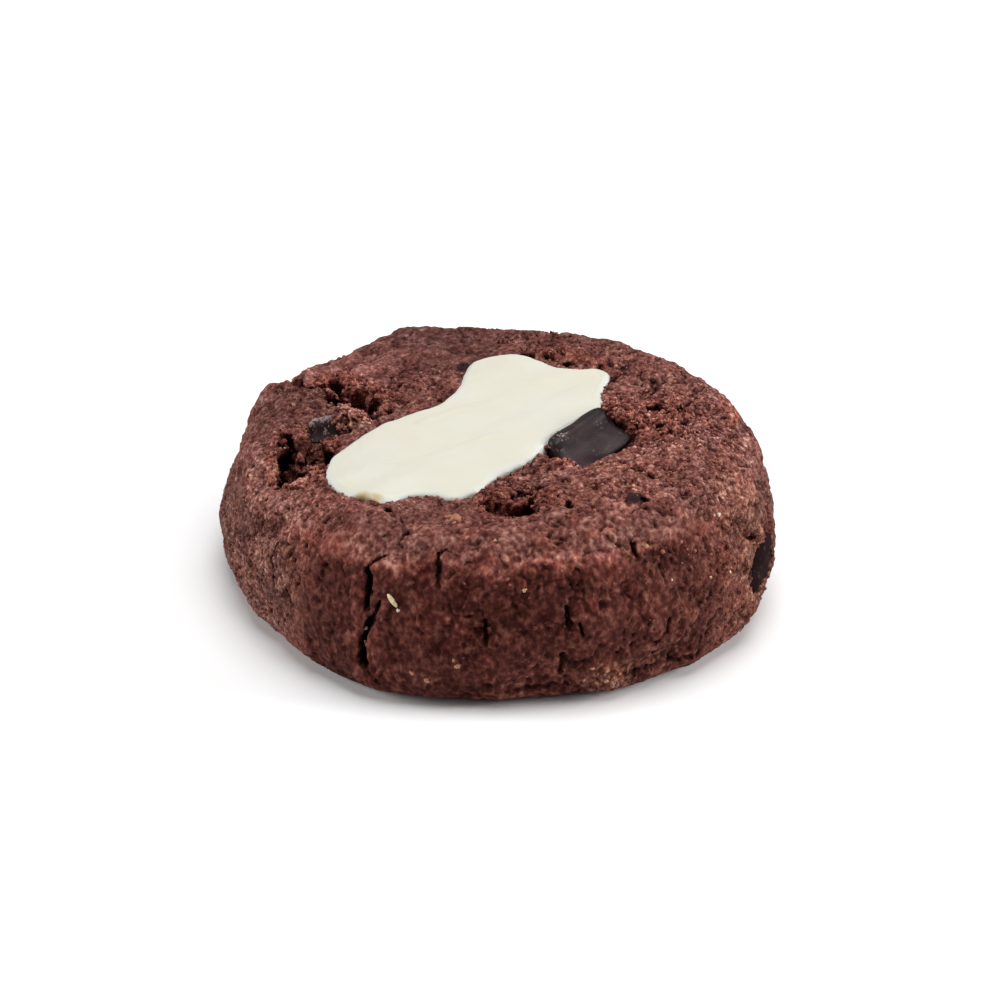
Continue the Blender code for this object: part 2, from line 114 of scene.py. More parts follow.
# Small dark chips in the top: ellipse
DARK_CHIPS = ((16.7, -21.5, 1.7, 1.3, 150), (16.2, 13.6, 1.4, 1, 20), (-4.2, 17, 1.5, 1.1, 60))

# Where the crumb is coarser or smoother than elsewhere: x, y, reach, change
COARSE_PLACES = (
    (20, 1, 9, 0.7), (14, 17, 10, 0.5), (-17.5, 10, 6, 0.5), (3, -20, 5, 0.4), (-26.5, 6, 5, -0.7),
    (-9, -27, 8, -0.5), (21, -12, 6, -0.3), (-8, 24, 10, -0.5), (-29, 3, 4, -0.4),
)

# Fine loose grains, each GRAIN_SIZE times the square of a number from the range
GRAIN_SIZE = 0.34 * MM
GRAIN_RANGE = (0.55, 1)
# On the top: ellipse, number
GRAIN_PLACES = (
    (-18, 4.6, 3, 1.9, 20, 420), (-21.6, -4, 4.8, 2, 80, 420), (-27, -3, 6.5, 1.2, 84, 220),
    (-17.5, 9.5, 5.2, 3.6, 140, 520), (-21, 14, 3.2, 2.8, 0, 220), (2.4, -20.6, 5.2, 4.2, 0, 520),
    (16.2, 0.1, 3.4, 1.4, -48, 240), (7.6, -10.6, 2.6, 1, 10, 80), (20.5, 0, 9, 7, -20, 1300),
    (10.4, 18, 12, 5, -30, 700), (24, -10, 8, 9, 0, 500), (0, 0, 27.5, 27.5, 0, 2100),
)
# On the wall: direction, its spread, lowest, highest, number
WALL_GRAINS = (
    (270, 22, 17, 22, 36), (270, 30, 1, 17, 60), (205, 10, 4, 20, 260), (318, 9, 4, 20, 300),
    (292, 4, 0.8, 4.2, 240),
)
GRAIN_RADIUS = 36
# How far grains stand out of the dough, in shares of their size
GRAIN_LIFTS = (-0.8, 0.4)
WALL_GRAIN_LIFTS = (-0.9, 0.2)
GRAIN_FLOOR = 1 * MM
COVER_GAP = 0.2 * MM  # no grain lies where a set piece comes closer to the surface than this
# Grains are darker towards the foot: between which heights this sets in, and how much
DARKER_BELOW = (12 * MM, 18 * MM)
LOW_SHADE = 0.55

# Oat flake on the crumb: place, half sizes, turns
OAT_FLAKE = ((-12.2, -31, 13.9), (1, 0.42, 0.22), (0, 52, -21))
FLAKE_LIFT = 0.05
# Pale flecks on the crumb: place, half size, tone
FLECKS = (
    ((-11.5, -31.8, 13), 0.24, 0.8), ((-15.6, -29.7, 9.4), 0.24, 0.9),
    ((-15.9, -29.6, 7.6), 0.18, 0.7), ((3.4, -33.1, 16.6), 0.3, 0.5),
    ((-4.5, -34.1, 6.6), 0.36, 0.25), ((-8.2, -33.3, 4.3), 0.42, 0.25),
    ((-9.9, -33, 5.2), 0.28, 0.2), ((-5, -33.8, 7.4), 0.22, 0.2), ((-0.1, -29.6, 21.2), 0.22, 0.5),
    ((25.8, -24.4, 13.4), 0.24, 0.5), ((28.3, -21.9, 12.7), 0.14, 1),
    ((21, -27.2, 14.6), 0.15, 0.9), ((26.7, -20.3, 19.8), 0.26, 0.9),
    ((26.2, -20.7, 19.9), 0.18, 0.8), ((17.9, -27.5, 19.3), 0.3, 0.4),
    ((-4.8, -25.6, 21.9), 0.78, 0.08), ((-5.6, -24.8, 21.6), 0.42, 0.08),
    ((11.4, -32.4, 4.9), 0.3, 0.3), ((12.2, -31.6, 2.8), 0.3, 0.4), ((13.2, -31.5, 3.2), 0.34, 0.4),
    ((14, -31.4, 2.6), 0.24, 0.5), ((10.6, -32.2, 3.4), 0.24, 0.3), ((15, -31, 3.6), 0.24, 0.3),
)
FLECK_LIFT = 0.25

# Holes in the top: ellipse, depth
HOLES = (
    (7, -8.6, 2.6, 1.3, -65, 4), (10, -11.4, 2.4, 1.1, -25, 2.4), (13.6, -6.6, 2, 0.9, 38, 2.4),
    (20, 1.9, 1.7, 0.6, 5, 1.3), (17.4, 2.6, 0.8, 0.5, 0, 1), (20.6, -2.3, 1.1, 0.45, 0, 1.1),
    (24.4, -5.8, 1.1, 0.45, -10, 1.1), (17, -15.2, 0.9, 0.4, -40, 1),
    (18.9, -17, 0.9, 0.45, -35, 1.1), (8.9, -21.9, 0.8, 0.6, 0, 1.2),
    (17.9, -22, 0.8, 0.5, -30, 1.4), (4.2, 19, 1.4, 0.7, -20, 1.6), (7, 17.4, 1.6, 0.5, -40, 1.2),
    (9.4, 15.6, 1.3, 0.7, -20, 1.6), (-21.9, 0.6, 1.3, 0.8, 75, 2.6),
    (-23.1, -3.9, 0.9, 0.7, 20, 2.2), (-24.6, -6.4, 1.4, 0.8, 20, 2),
    (-26.4, -0.6, 1.9, 0.95, 80, 3), (-26.7, -4, 1.4, 0.9, 84, 2.6),
    (-20.7, 13, 1.5, 1.4, 100, 3.2), (-18.8, 9.6, 3.7, 2.1, -8, 4.6),
    (-15.6, 7.6, 1.6, 1.3, -20, 3), (-13.4, 5.6, 0.9, 0.6, 0, 1.6), (2.2, -21.6, 3, 1.8, 0, 3.6),
    (4, -20.6, 1.5, 1.3, 0, 3), (-12.9, -22.2, 0.6, 0.4, 0, 1), (-10.7, -26.9, 0.55, 0.4, 0, 1.1),
)
HOLE_WAY = (0, 0.62, -0.78)  # they go down and backwards
HOLES_ABOVE = 12 * MM

# Places of the rim that lie lower, or higher: ellipse, depth
DIPS = (
    (-25.7, 16.8, 4.6, 1.1, 90, 3.2), (-28.2, 14.6, 2.4, 2.2, 0, -0.6),
    (-15.5, 27.5, 2.6, 3, 0, 0.35), (-10.5, 28, 4, 3.4, 0, -0.45), (-2.6, 28.5, 3.4, 3.2, 0, -0.45),
)
DIP_HEIGHTS = (10 * MM, 18 * MM)  # between which they set in

# Lines in the top: points, half width, depth
CREASES = (
    (((-12.8, -22.4), (-11.4, -24.2), (-10.6, -26.6), (-11.3, -28)), 0.4, 0.6),
    (((15.2, -11.3), (16.6, -14.3), (18.3, -16.3), (19, -17.1), (22.2, -19.1)), 0.45, 0.55),
    (((-26.9, 0.4), (-26.9, -2.4), (-26.6, -5.4)), 0.6, 1),
    (((-25.4, 9), (-25.8, 6), (-26.2, 3.6)), 0.7, 0.25),
    (((-25.4, 13.4), (-24, 12.4), (-22.2, 12.6)), 0.7, 1.1),
)

# Cracks of the wall: points as direction and height, half width, depth
CRACKS = (
    (((248.3, 20.9), (247.6, 20.2), (247.2, 19.4), (244.4, 18.3), (242.5, 17.4)), 0.3, 0.7),
    (((242.1, 16.7), (242.7, 15.8), (243.1, 14.6), (242.9, 13.3), (243.1, 12.2)), 0.6, 2.6),
    (((246.1, 13.4), (245.6, 12.4), (244.7, 11)), 0.32, 1.2),
    (((244.5, 11.2), (243.4, 9.7), (242.4, 7.7), (242.5, 6), (243, 4.8)), 0.66, 2.6),
    (((243.2, 4.7), (244.7, 3.6), (246, 2.3)), 0.22, 0.6), (((258.9, 20.2), (257.4, 19.4)), 0.26, 0.5),
    (((257.4, 19.6), (257.6, 18.2), (258, 16.2)), 0.42, 1.2), (((268, 12.5), (268.1, 9.6)), 0.32, 1.1),
    (((284.3, 13.9), (284.4, 11.6)), 0.42, 1.4), (((286.7, 12.1), (287.5, 10.6)), 0.32, 1.1),
    (((283.5, 7.9), (283.5, 5.2)), 0.32, 1.1), (((300.1, 19.9), (300.3, 18.6)), 0.42, 1.3),
    (((306.1, 9.8), (305.5, 8.4), (302.8, 7.4)), 0.32, 0.7),
    (((297, 3.4), (301.5, 3.3), (306.5, 3.2), (312.5, 3)), 0.45, 0.9),
    (((271.9, 2.3), (279.2, 2.6), (285.4, 2.9)), 0.4, 0.7),
    (((214, 14.5), (212.5, 12), (214.5, 9.5)), 0.28, 0.6),
    (((220, 10), (222.5, 8.5), (226, 8.8)), 0.28, 0.6),
)
WALL_RADIUS = 33.6  # at which directions of the cracks are turned into lengths
CRACKS_OUTSIDE = 26 * MM
# Share by which cracks go backwards rather than straight into the wall
CRACK_WAY = (0, 1, 0)
CRACK_LEAN = 0.65

# Where the wall is closed over the long crack of the solid before it is cut again
CLOSED_TURNS = (239, 248.5)
CLOSED_HEIGHTS = (2, 19)
CLOSED_RADIUS = 27 * MM
# Heights at which its two sides are found, and how near to them points are looked for
ROWS = np.arange(1, 21, 0.5)
ROW_REACH = (0.8, 0.35)

# Small changes of the outline: direction, change of radius
RIM_SHIFTS = (
    (0, -0.2), (6, -0.8), (14, -0.15), (24, 0), (30, -0.5), (38, -0.15), (46, 0.1), (56, 0),
    (325, 0), (335, -0.2), (342, -0.75), (347, -0.6), (354, -0.3),
)
FOOT_SHIFTS = (
    (160, 0), (173, 0.15), (180, 0.25), (190, 0.1), (205, 0), (214, -0.2), (224, 0), (232, 0.5),
    (246, 0.55), (251, 0), (257, -0.3), (264, -0.65), (271, -0.4), (276, -0.95), (281, -0.75),
    (285, -0.65), (291, -0.35), (295, 0.2), (300, 0.15), (304, 0), (308, -0.5), (314, 0.15),
    (320, -0.15), (325, -0.4), (330, -0.15), (335, -0.3), (342, -0.3), (350, 0),
)
# Heights and radii between which these changes set in
RIM_HEIGHTS = (7, 10)
FOOT_HEIGHTS = (3, 9)
SHIFTED_RADII = (20 * MM, 29 * MM)

# Layers of noise: size of the lumps, seed, share
LAYERS = {
    "broad": ((4.5, 20, 1),),
    "lumps": ((1.5, 5, 1), (0.75, 9, 0.6)),
    "fine": ((0.42, 13, 1),),
    "gap_places": ((2.6, 27, 1), (1.1, 29, 0.7)),
    "hollows": ((1.15, 31, 1), (0.55, 37, 0.55)),
    "veins": ((2.8, 51, 1),),
    "small_veins": ((0.9, 53, 0.25),),
    "vein_places": ((5, 57, 1),),
    "knobs": ((2.3, 63, 1),),
    "swirl": ((4.2, 3, 1), (1.5, 9, 0.35)),
}
# Cells of noise: their size, seed
CLUMPS = (1.25 * MM, 23)
PORES = (3.4 * MM, 41)
# How far each kind of crumb stands out or goes in
BROAD_RISE = 0.22
KNOB_RISE = 0.38
LUMP_RISE = 0.2
FINE_RISE = 0.14
CLUMP_RISE = 0.1
GAP_DEPTH = 0.44
PIT_DEPTH = 0.42
VEIN_DEPTH = 0.34
PORE_DEPTH = 0.15
# How far the crumb's pattern is drawn aside, and the size of the lumps in that
WARP = 0.5 * MM
WARP_SIZE = 1.6 * MM
RELIEF_RADIUS = 34  # at which directions of the wall are turned into lengths
FOOT_RISE = (0.2 * MM, 1.4 * MM)  # heights between which the crumb sets in above the base
# Front and back: where the crumb begins to be smooth and where it is
SOFT_FRONT = (19, 27)
SOFT_BACK = (10, 24)
# Edges of the holes and of the cracks: how far they waver and the size of the lumps in that
HOLE_WAVER = (0.35 * MM, 0.8 * MM)
CRACK_WAVERS = ((0.3, 0.9 * MM, (71, 73)), (0.16, 0.4 * MM, (75, 77)))
# Openness: how far a ray has to get, rays from each point, their lift off it
OPEN_REACH = 2.5 * MM
OPEN_RAYS = 12
OPEN_LIFT = 0.04

# Pool: spacing of its points, its growth into the dough, rounds of smoothing
POOL_FORM = (0.25 * MM, 0.32 * MM, 3)
# Ways its outline is moved: x, y, reach, way in x and y
POOL_NUDGES = (
    (-20.6, -12.4, 2.6, 0.5, 0.25), (-21.5, -4, 3, -0.25, 0.15), (-16.5, 1.5, 5, -0.3, 0.45),
    (-9.5, 5.5, 4, -0.2, 0.3), (-3, 18, 2.8, -0.6, 0.6), (1, 20.2, 2.4, 0, -0.45),
    (4.6, 18.4, 2.2, 0, -0.6), (12.6, 13.5, 2.5, 0, -0.6), (13, 7.8, 2, 0.45, 0),
    (10.5, 2.2, 4, 0.2, -0.3), (-0.5, -13.5, 3.5, -0.1, 0.4), (-18.9, -16, 3, 0.3, 0.8),
)
POOL_WOBBLES = ((3.6, 0.3), (1.5, 0.1))  # size and reach
POOL_FLOW = 38  # direction in which the white chocolate was drawn out
FLOW_STRETCH = 7
FLOW_BEND = (1.6 * MM, 9 * MM)  # how far the flow swings aside, and over what length
SWIRL_RISE = 0.09 * MM
# Ridges in its top: their points, height and half width
POOL_RIDGES = (((-9.4, 0.4), (-5.2, 3.3), (-0.2, 4.8)), ((-13, -9.5), (-6, -8), (-1, -4.5)))
RIDGE_RISE = 0.09
RIDGE_WIDTH = 0.9
# Stains at its edge: middle, reach
STAINS = (((-14.9, -19), 1.5), ((-16.3, -18), 1.3))

# Dark chunks: spacing of their points, rounds of smoothing
CHUNK_STEP = 0.15 * MM
CHUNK_ROUNDS = 6
# Node, roughness, specular level, lightness, growth, shift; the lightness is painted shade, the same dark
# chocolate made darker on the chunks that catch less light, most of all the side chunk on the wall
CHUNKS = (
    ("dark_chunk_top", 0.45, 0.24, 0.9, 0.3, (0.2, 0.1, 0.15)),
    ("dark_chunk_left", 0.55, 0.25, 0.8, 0.35, (0.3, 0.1, 0.2)),
    ("dark_chunk_side", 0.9, 0.02, 0.5, 0.35, (0.35, 0.5, -0.8)),
)
# Direction of the top chunk's long axis; then its length share, turn and tilt
CHUNK_AXIS = 45
CHUNK_POSES = {"dark_chunk_top": (1.1, 3, 7)}
# Corners that are drawn in: x, y, reach, way in x and y
CHUNK_NUDGES = {"dark_chunk_top": ((15.8, -0.9, 1.7, -0.55, -0.3), (17.6, -3.2, 1.6, -0.5, 0))}
# Painted shade on the top chunk, darker where its dished face would reflect less light: middle, reach,
# tint
CHUNK_PAINTED_SHADE = {
    "dark_chunk_top": (
        ((12.8, -0.2), 3.6, (0.45, 0.42, 0.48)), ((7.6, -4.6), 2.6, (0.6, 0.58, 0.62)),
        ((12, -4.5), 5.5, (0.86, 0.68, 0.73)),
    ),
}
# Dusty places: middle, reach, how much more of them the dust covers
CHUNK_DUST = {
    "dark_chunk_top": (((7.9, -5.2), 1.4, 0),),
    "dark_chunk_left": (
        ((-23.4, 4.2), 1.5, 0.7), ((-22, 4.8), 1.5, 0.7), ((-20.6, 5.2), 1.5, 0.7),
        ((-21.4, 3.4), 0.7, 0),
    ),
}

# Colours: place in the range from 0 to 1, colour
CRUMB_COLOURS = (
    (0.12, (0.052, 0.0108, 0.008)), (0.36, (0.12, 0.03, 0.023)), (0.55, (0.205, 0.061, 0.047)),
    (0.72, (0.31, 0.118, 0.09)), (0.88, (0.5, 0.23, 0.17)),
)
FLECK_COLOURS = (
    (0, (0.34, 0.115, 0.065)), (0.3, (0.42, 0.19, 0.1)), (0.55, (0.6, 0.35, 0.19)),
    (0.75, (0.56, 0.42, 0.36)), (0.9, (0.66, 0.52, 0.44)), (1, (0.8, 0.66, 0.38)),
)
GRAIN_COLOURS = (
    (0, (0.06, 0.016, 0.013)), (0.5, (0.17, 0.052, 0.04)), (0.9, (0.3, 0.105, 0.076)),
    (1, (0.46, 0.23, 0.17)),
)
WHITE_COLOURS = ((0.35, (0.628, 0.606, 0.51)), (0.65, (0.645, 0.632, 0.555)))
DARK_COLOURS = ((0.32, (0.018, 0.007, 0.008)), (0.7, (0.04, 0.019, 0.02)))
FLOOR_COLOURS = ((0, (0.93, 0.93, 0.93)), (1, (0.95, 0.95, 0.95)))
CHIP_COLOUR = (0.03, 0.013, 0.013, 1)
SWIRL_COLOUR = (0.635, 0.595, 0.465, 1)
# Painted shade: bluish grey on the rounded edge of the pool
EDGE_SHADE_COLOUR = (0.6, 0.625, 0.6, 1)
STAIN_COLOUR = (0.5, 0.33, 0.05, 1)
DUST_COLOUR = (0.36, 0.26, 0.23, 1)
WARM_TINT = (1.22, 1.02, 0.9, 1)
COOL_TINT = (0.66, 0.74, 0.8, 1)
# Painted light: the top is paler and greyer, a painted sheen, and the wall darker, painted shade
TOP_SHEEN_WALL_SHADE_TINT = ((0, (1.09, 1.43, 1.54)), (0.5, (1.05, 1.28, 1.33)), (1, (0.74, 0.96, 1)))
# Painted light: the front rim is lighter, a painted highlight, and the front wall below it darker,
# painted shade
FRONT_RIM_LIGHT_WALL_SHADE_TINT = ((0, (1, 1, 1)), (0.45, (1.22, 1.08, 1.04)), (0.9, (0.72, 0.5, 0.47)))
# Painted shade: the crumb is darker and redder in its hollows, in the hollows of its fine bump, in its
# small pores and where it is closed in
HOLLOW_SHADE_TINT = ((0, (0.26, 0.16, 0.13)), (1, (1.18, 1.19, 1.19)))
BUMP_HOLLOW_SHADE_TINT = ((0, (0.48, 0.38, 0.35)), (1, (1.1, 1.1, 1.1)))
PORE_SHADE_TINT = ((0, (0.24, 0.15, 0.12)), (1, (1, 1, 1)))
OCCLUSION_SHADE_TINT = ((0, (0.03, 0.02, 0.02)), (0.45, (0.42, 0.36, 0.36)), (0.85, (1, 1, 1)))
# Paler and darker places of the dough, from above or with a height: middle, reach, tint. Some are its own
# colour, such as pale crumb; others are painted light and shade: lighter walls at the left and right, a
# lighter front rim and foot, and a darker back where the top turns away from the light
TONE_AND_PAINTED_LIGHT_PLACES = (
    ((-17.9, 4.6), 4.6, (2.1, 2.75, 2.95)), ((-24.5, 15), 3.6, (1.45, 1.5, 1.5)),
    ((0.5, -14), 4, (1.38, 1.42, 1.44)), ((-23.5, -7), 4, (1.38, 1.44, 1.48)),
    ((31, 0), 8, (0.87, 0.87, 0.89)), ((-8.7, -22), 4.5, (0.88, 0.89, 0.9)),
    ((6.5, -30, 19), 5, (1.26, 1.26, 1.26)), ((11.5, -31, 9), 5, (0.82, 0.82, 0.82)),
    ((-8.5, -33, 4), 5, (0.84, 0.88, 0.88)), ((-19, 15), 7, (1.5, 1.52, 1.55)),
    ((17, -22), 6.5, (1.32, 1.34, 1.34)), ((-19, -24.8), 4.6, (0.72, 0.68, 0.68)),
    ((6.5, -13.5), 4.5, (1.25, 1.32, 1.36)), ((5, -33, 1.5), 7, (1.46, 1.74, 1.78)),
    ((-25, -23, 8), 9, (0.97, 1.14, 1.14)), ((13.4, -30.6, 2.8), 3.8, (2.5, 4.2, 4.2)),
    ((-25.5, 9), 9, (0.84, 0.86, 0.88)), ((-7, 27), 16, (0.6, 0.62, 0.66)),
    ((14, 30), 14, (0.79, 0.8, 0.84)), ((20, -4), 16, (1.42, 1.52, 1.56)),
    ((14, -16), 10, (1.28, 1.28, 1.22)), ((-20, -19.5), 8, (1.26, 1.22, 1.2)),
    ((-33, -12), 15, (1.5, 1.68, 1.68)), ((32, -17), 8, (1.25, 1.34, 1.2)),
    ((22, -28), 9, (1, 1.1, 1.08)), ((-2, -26), 8, (0.98, 0.94, 0.93)),
)

# Clouds of noise in the materials: size, detail, range of the noise, range it is turned into
CLOUDS = {
    "top_grain": (0.55, 2, 0.3, 0.7),
    "wall_grain": (0.66, 1, 0.32, 0.68, 0.08, 0.92),
    "patch": (3.2, 3),
    "warm": (2.6, 2, 0.5, 0.68, 0, 0.5),
    "cool": (3.7, 2, 0.54, 0.72, 0, 0.3),
    "rough": (0.22, 3),
    "grain": (0.25, 2, 0.3, 0.7, 0.7, 1.2),
    "fleck": (0.35, 3, 0.3, 0.7, 0.72, 1.1),
    "white": (9, 2),
    "streak": (1.5, 3),
    "dark": (1.9, 3),
    "dark_fine": (0.5, 3),
    "dust": (1.3, 2, 0.56, 0.7, 0, 0.22),
    "floor": (200, 1),
}
WALL_GRAIN_SCALE = (1, 1, 0.75)
# Sizes of the cells in the materials
TONE_CELLS = 0.8 * MM
FINE_CELLS = 0.3 * MM
SPECK_CELLS = 0.85 * MM
DUST_CELLS = 0.22 * MM
# Shares of the grain, the cells and the patches in the tone of the crumb
GRAIN_TONE = 0.54
CELL_TONE = 0.17
PATCH_TONE = 0.29
# Painted shade of small pores, dark specks in the crumb: random numbers of the cells with one, its
# largest reach
SPECK_CHANCE = (0.55, 1)
SPECK_REACH = 0.34
# Ranges that are turned into 0 to 1, or into the second range
LEVEL_RANGE = (-0.5, 0.25)
DIP_RANGE = (-0.45, 0.15)
GAP_RANGE = (-0.1, 0.04)
DUST_RANGE = (0.78, 0.9)
SWIRL_RANGE = (-0.5, 0.7, 0, 0.3)
# The front of the wall, where its painted highlight and shade set in, and the reach of a heap's crumbs,
# in the colour of the dough
FRONT_EDGE = (17 * MM, 27 * MM)
BROKEN_REACH = (0.4 * MM, 1.1 * MM)

DOUGH_SHADER = {
    "Roughness": 0.8,
    "Specular IOR Level": 0.08,
    "Sheen Weight": 0.02,
    "Sheen Roughness": 0.4,
    "Sheen Tint": (1, 0.9, 0.88, 1),
}
GRAIN_SHADER = {"Roughness": 0.8, "Specular IOR Level": 0.08}
FLECK_SHADER = {"Roughness": 0.7}
WHITE_SHADER = {
    "Roughness": 0.45,
    "Specular IOR Level": 0.35,
    "Subsurface Weight": 0.5,
    "Subsurface Radius": (1, 0.8, 0.5),
    "Subsurface Scale": 1.2 * MM,
}
FLOOR_SHADER = {"Roughness": 0.9, "Specular IOR Level": 0}
# Bumps: strength, height
DOUGH_BUMP = (0.9, 0.22 * MM)
WHITE_BUMP = (0.2, 0.08 * MM)
DARK_BUMP = (0.35, 0.1 * MM)


# Meshes


def new_object(name, data):
    obj = bpy.data.objects.new(name, data)
    bpy.context.scene.collection.objects.link(obj)
    return obj


def mesh_from_bmesh(name, shape):
    mesh = bpy.data.meshes.new(name)
    shape.to_mesh(mesh)
    shape.free()
    return mesh


def node_shape(name):
    """A welded bmesh of a CAD node."""
    shape = bmesh.new()
    shape.from_mesh(NODES[name].data)
    bmesh.ops.remove_doubles(shape, verts=shape.verts, dist=WELD_DISTANCE)
    bmesh.ops.recalc_face_normals(shape, faces=shape.faces)
    return shape


def add_ball(shape, middle, turn, half, subdivisions):
    """Adds a ball with these half sizes in mm, turned by a matrix and moved to its middle."""
    matrix = Matrix.Translation(middle) @ turn @ Matrix.Diagonal(Vector((*half, 1 / MM)) * MM)
    bmesh.ops.create_icosphere(shape, subdivisions=subdivisions, radius=1, matrix=matrix)


def modify(obj, kind, **settings):
    """Adds a modifier and applies it."""
    modifier = obj.modifiers.new(kind, kind)
    for name, value in settings.items():
        setattr(modifier, name, value)
    bpy.context.view_layer.update()
    graph = bpy.context.evaluated_depsgraph_get()
    mesh = bpy.data.meshes.new_from_object(obj.evaluated_get(graph), depsgraph=graph)
    obj.modifiers.clear()
    obj.data = mesh


def remesh(obj, step):
    modify(obj, "REMESH", mode="VOXEL", voxel_size=step)


def decimate(obj, triangles):
    obj.data.calc_loop_triangles()
    share = min(1.0, triangles / len(obj.data.loop_triangles))
    modify(obj, "DECIMATE", ratio=share, use_collapse_triangulate=True)


def finish_mesh(mesh, material):
    mesh.shade_smooth()
    mesh.materials.clear()
    mesh.materials.append(material)


def read_vectors(mesh, name):
    values = np.empty(len(mesh.vertices) * 3, np.float32)
    mesh.vertices.foreach_get(name, values)
    return values.reshape(-1, 3).astype(float)


def points_of(mesh):
    return read_vectors(mesh, "co")


def normals_of(mesh):
    return read_vectors(mesh, "normal")


def set_points(mesh, points):
    mesh.vertices.foreach_set("co", points.astype(np.float32).ravel())
    mesh.update()


def edges_of(mesh):
    values = np.empty(len(mesh.edges) * 2, np.int32)
    mesh.edges.foreach_get("vertices", values)
    return values.reshape(-1, 2)


def set_attribute(mesh, name, values):
    attribute = mesh.attributes.new(name, "FLOAT", "POINT")
    attribute.data.foreach_set("value", values.astype(np.float32))


def surface_of(mesh):
    """A mesh as a tree that finds its nearest point, or the first point on a ray."""
    faces = [polygon.vertices[:] for polygon in mesh.polygons]
    return BVHTree.FromPolygons(points_of(mesh).tolist(), faces)


def drop(surface, x, y):
    """Where a ray straight down at this place in mm meets the surface, and the normal there."""
    return surface.ray_cast(Vector((x * MM, y * MM, RAY_TOP)), Vector((0, 0, -1)))[:2]


def nearest(surface, x, y, z):
    """Where the surface is nearest to this place in mm, and the normal there."""
    return surface.find_nearest(Vector((x, y, z)) * MM)[:2]


def point_tree(points):
    """A tree that finds the nearest of these points."""
    tree = kdtree.KDTree(len(points))
    for i, point in enumerate(points):
        tree.insert(point, i)
    tree.balance()
    return tree


# Arrays of points


def blur(values, edges, rounds, share=0.5):
    """Draws each point's values towards the mean of its neighbours'."""
    flat = values.ndim == 1
    values = values[:, None] if flat else values
    first, second = edges.T
    count = len(values)
    degree = np.maximum(np.bincount(edges.ravel(), minlength=count), 1)
    for _ in range(rounds):
        mean = np.empty_like(values)
        for k in range(values.shape[1]):
            mean[:, k] = np.bincount(first, values[second, k], count)
            mean[:, k] += np.bincount(second, values[first, k], count)
            mean[:, k] /= degree
        values = values + share * (mean - values)
    return values[:, 0] if flat else values


def smooth_step(value, low, high):
    t = np.clip((value - low) / (high - low), 0, 1)
    return t * t * (3 - 2 * t)


def around(points):
    """Direction of each point in degrees, its distance from the middle, and its height in mm."""
    turn = np.degrees(np.arctan2(points[:, 1], points[:, 0])) % 360
    return turn, np.hypot(points[:, 0], points[:, 1]), points[:, 2] / MM


def nudge(points, x, y, reach, move_x, move_y):
    """Moves the points round a place sideways, less and less away from it."""
    gap = np.hypot(points[:, 0] - x * MM, points[:, 1] - y * MM) / (reach * MM)
    points[:, :2] += np.exp(-gap * gap)[:, None] * np.array((move_x, move_y)) * MM


def ellipse_depth(points, x, y, length, width, turn):
    """1 in the middle of an ellipse seen from above, 0 from its rim outwards."""
    c, n = math.cos(math.radians(turn)), math.sin(math.radians(turn))
    dx, dy = points[:, 0] / MM - x, points[:, 1] / MM - y
    u, v = (dx * c + dy * n) / length, (dy * c - dx * n) / width
    return smooth_step(1 - np.hypot(u, v), 0.0, 0.6)


def line_depth(flat, line, width):
    """1 along a line in the plane, 0 further from it than its half width."""
    gap = np.full(len(flat), 1e9)
    for start, end in zip(line, line[1:]):
        start, end = np.array(start), np.array(end)
        along = end - start
        t = np.clip((flat - start) @ along / (along @ along), 0, 1)
        gap = np.minimum(gap, np.linalg.norm(flat - start - t[:, None] * along, axis=1))
    return smooth_step(1 - gap / width, 0.0, 0.7)


# Noise over arrays of points


def perlin(points, size, seed):
    """Smooth noise of about -1 to 1 whose lumps have this size."""
    return np.array([noise.noise(point) for point in (points / size + seed).tolist()])


def layer(points, name):
    """One of the named layers of noise."""
    return sum(share * perlin(points, size * MM, seed) for size, seed, share in LAYERS[name])


def waver(points, size, seeds):
    """Smooth noise in as many directions as there are seeds."""
    return np.column_stack([perlin(points, size, seed) for seed in seeds])


def cells(points, size, seed):
    """Distances to the nearest cell's middle and to the next, and a random number of the cell."""
    rows = []
    for point in (points / size + seed).tolist():
        distances, middles = noise.voronoi(point)
        x, y, z = middles[0]
        rows.append((*distances[:2], (x * 12.9898 + y * 78.233 + z * 37.719) % 1.0))
    return np.array(rows).T


# Form of the dough


def pocket_fill(shape, node, sink, grow):
    """Adds a copy of a set piece, grown and sunk, so that the dough closes round its pocket."""
    fill = node_shape(node)
    fill.normal_update()
    moved = [vertex.co + grow * vertex.normal + sink for vertex in fill.verts]
    for vertex, point in zip(fill.verts, moved):
        vertex.co = point
    shape.from_mesh(mesh_from_bmesh("fill", fill))


def close_crack(mesh):
    """Brings the wall forward over the long crack, to the line between its two sides."""
    points = points_of(mesh)
    turn, radius, height = around(points)
    low, high = CLOSED_TURNS
    sides = []
    for side in CLOSED_TURNS:
        near = np.abs(turn - side) < ROW_REACH[0]
        sides.append([radius[near & (np.abs(height - row) < ROW_REACH[1])].max() for row in ROWS])
    share = np.clip((turn - low) / (high - low), 0, 1)
    closed = (1 - share) * np.interp(height, ROWS, sides[0]) + share * np.interp(height, ROWS, sides[1])
    inside = (turn > low) & (turn < high) & (radius > CLOSED_RADIUS)
    inside &= (height > CLOSED_HEIGHTS[0]) & (height < CLOSED_HEIGHTS[1])
    scale = np.where(inside, np.maximum(closed / radius, 1), 1)
    points[:, :2] *= scale[:, None]
    set_points(mesh, points)


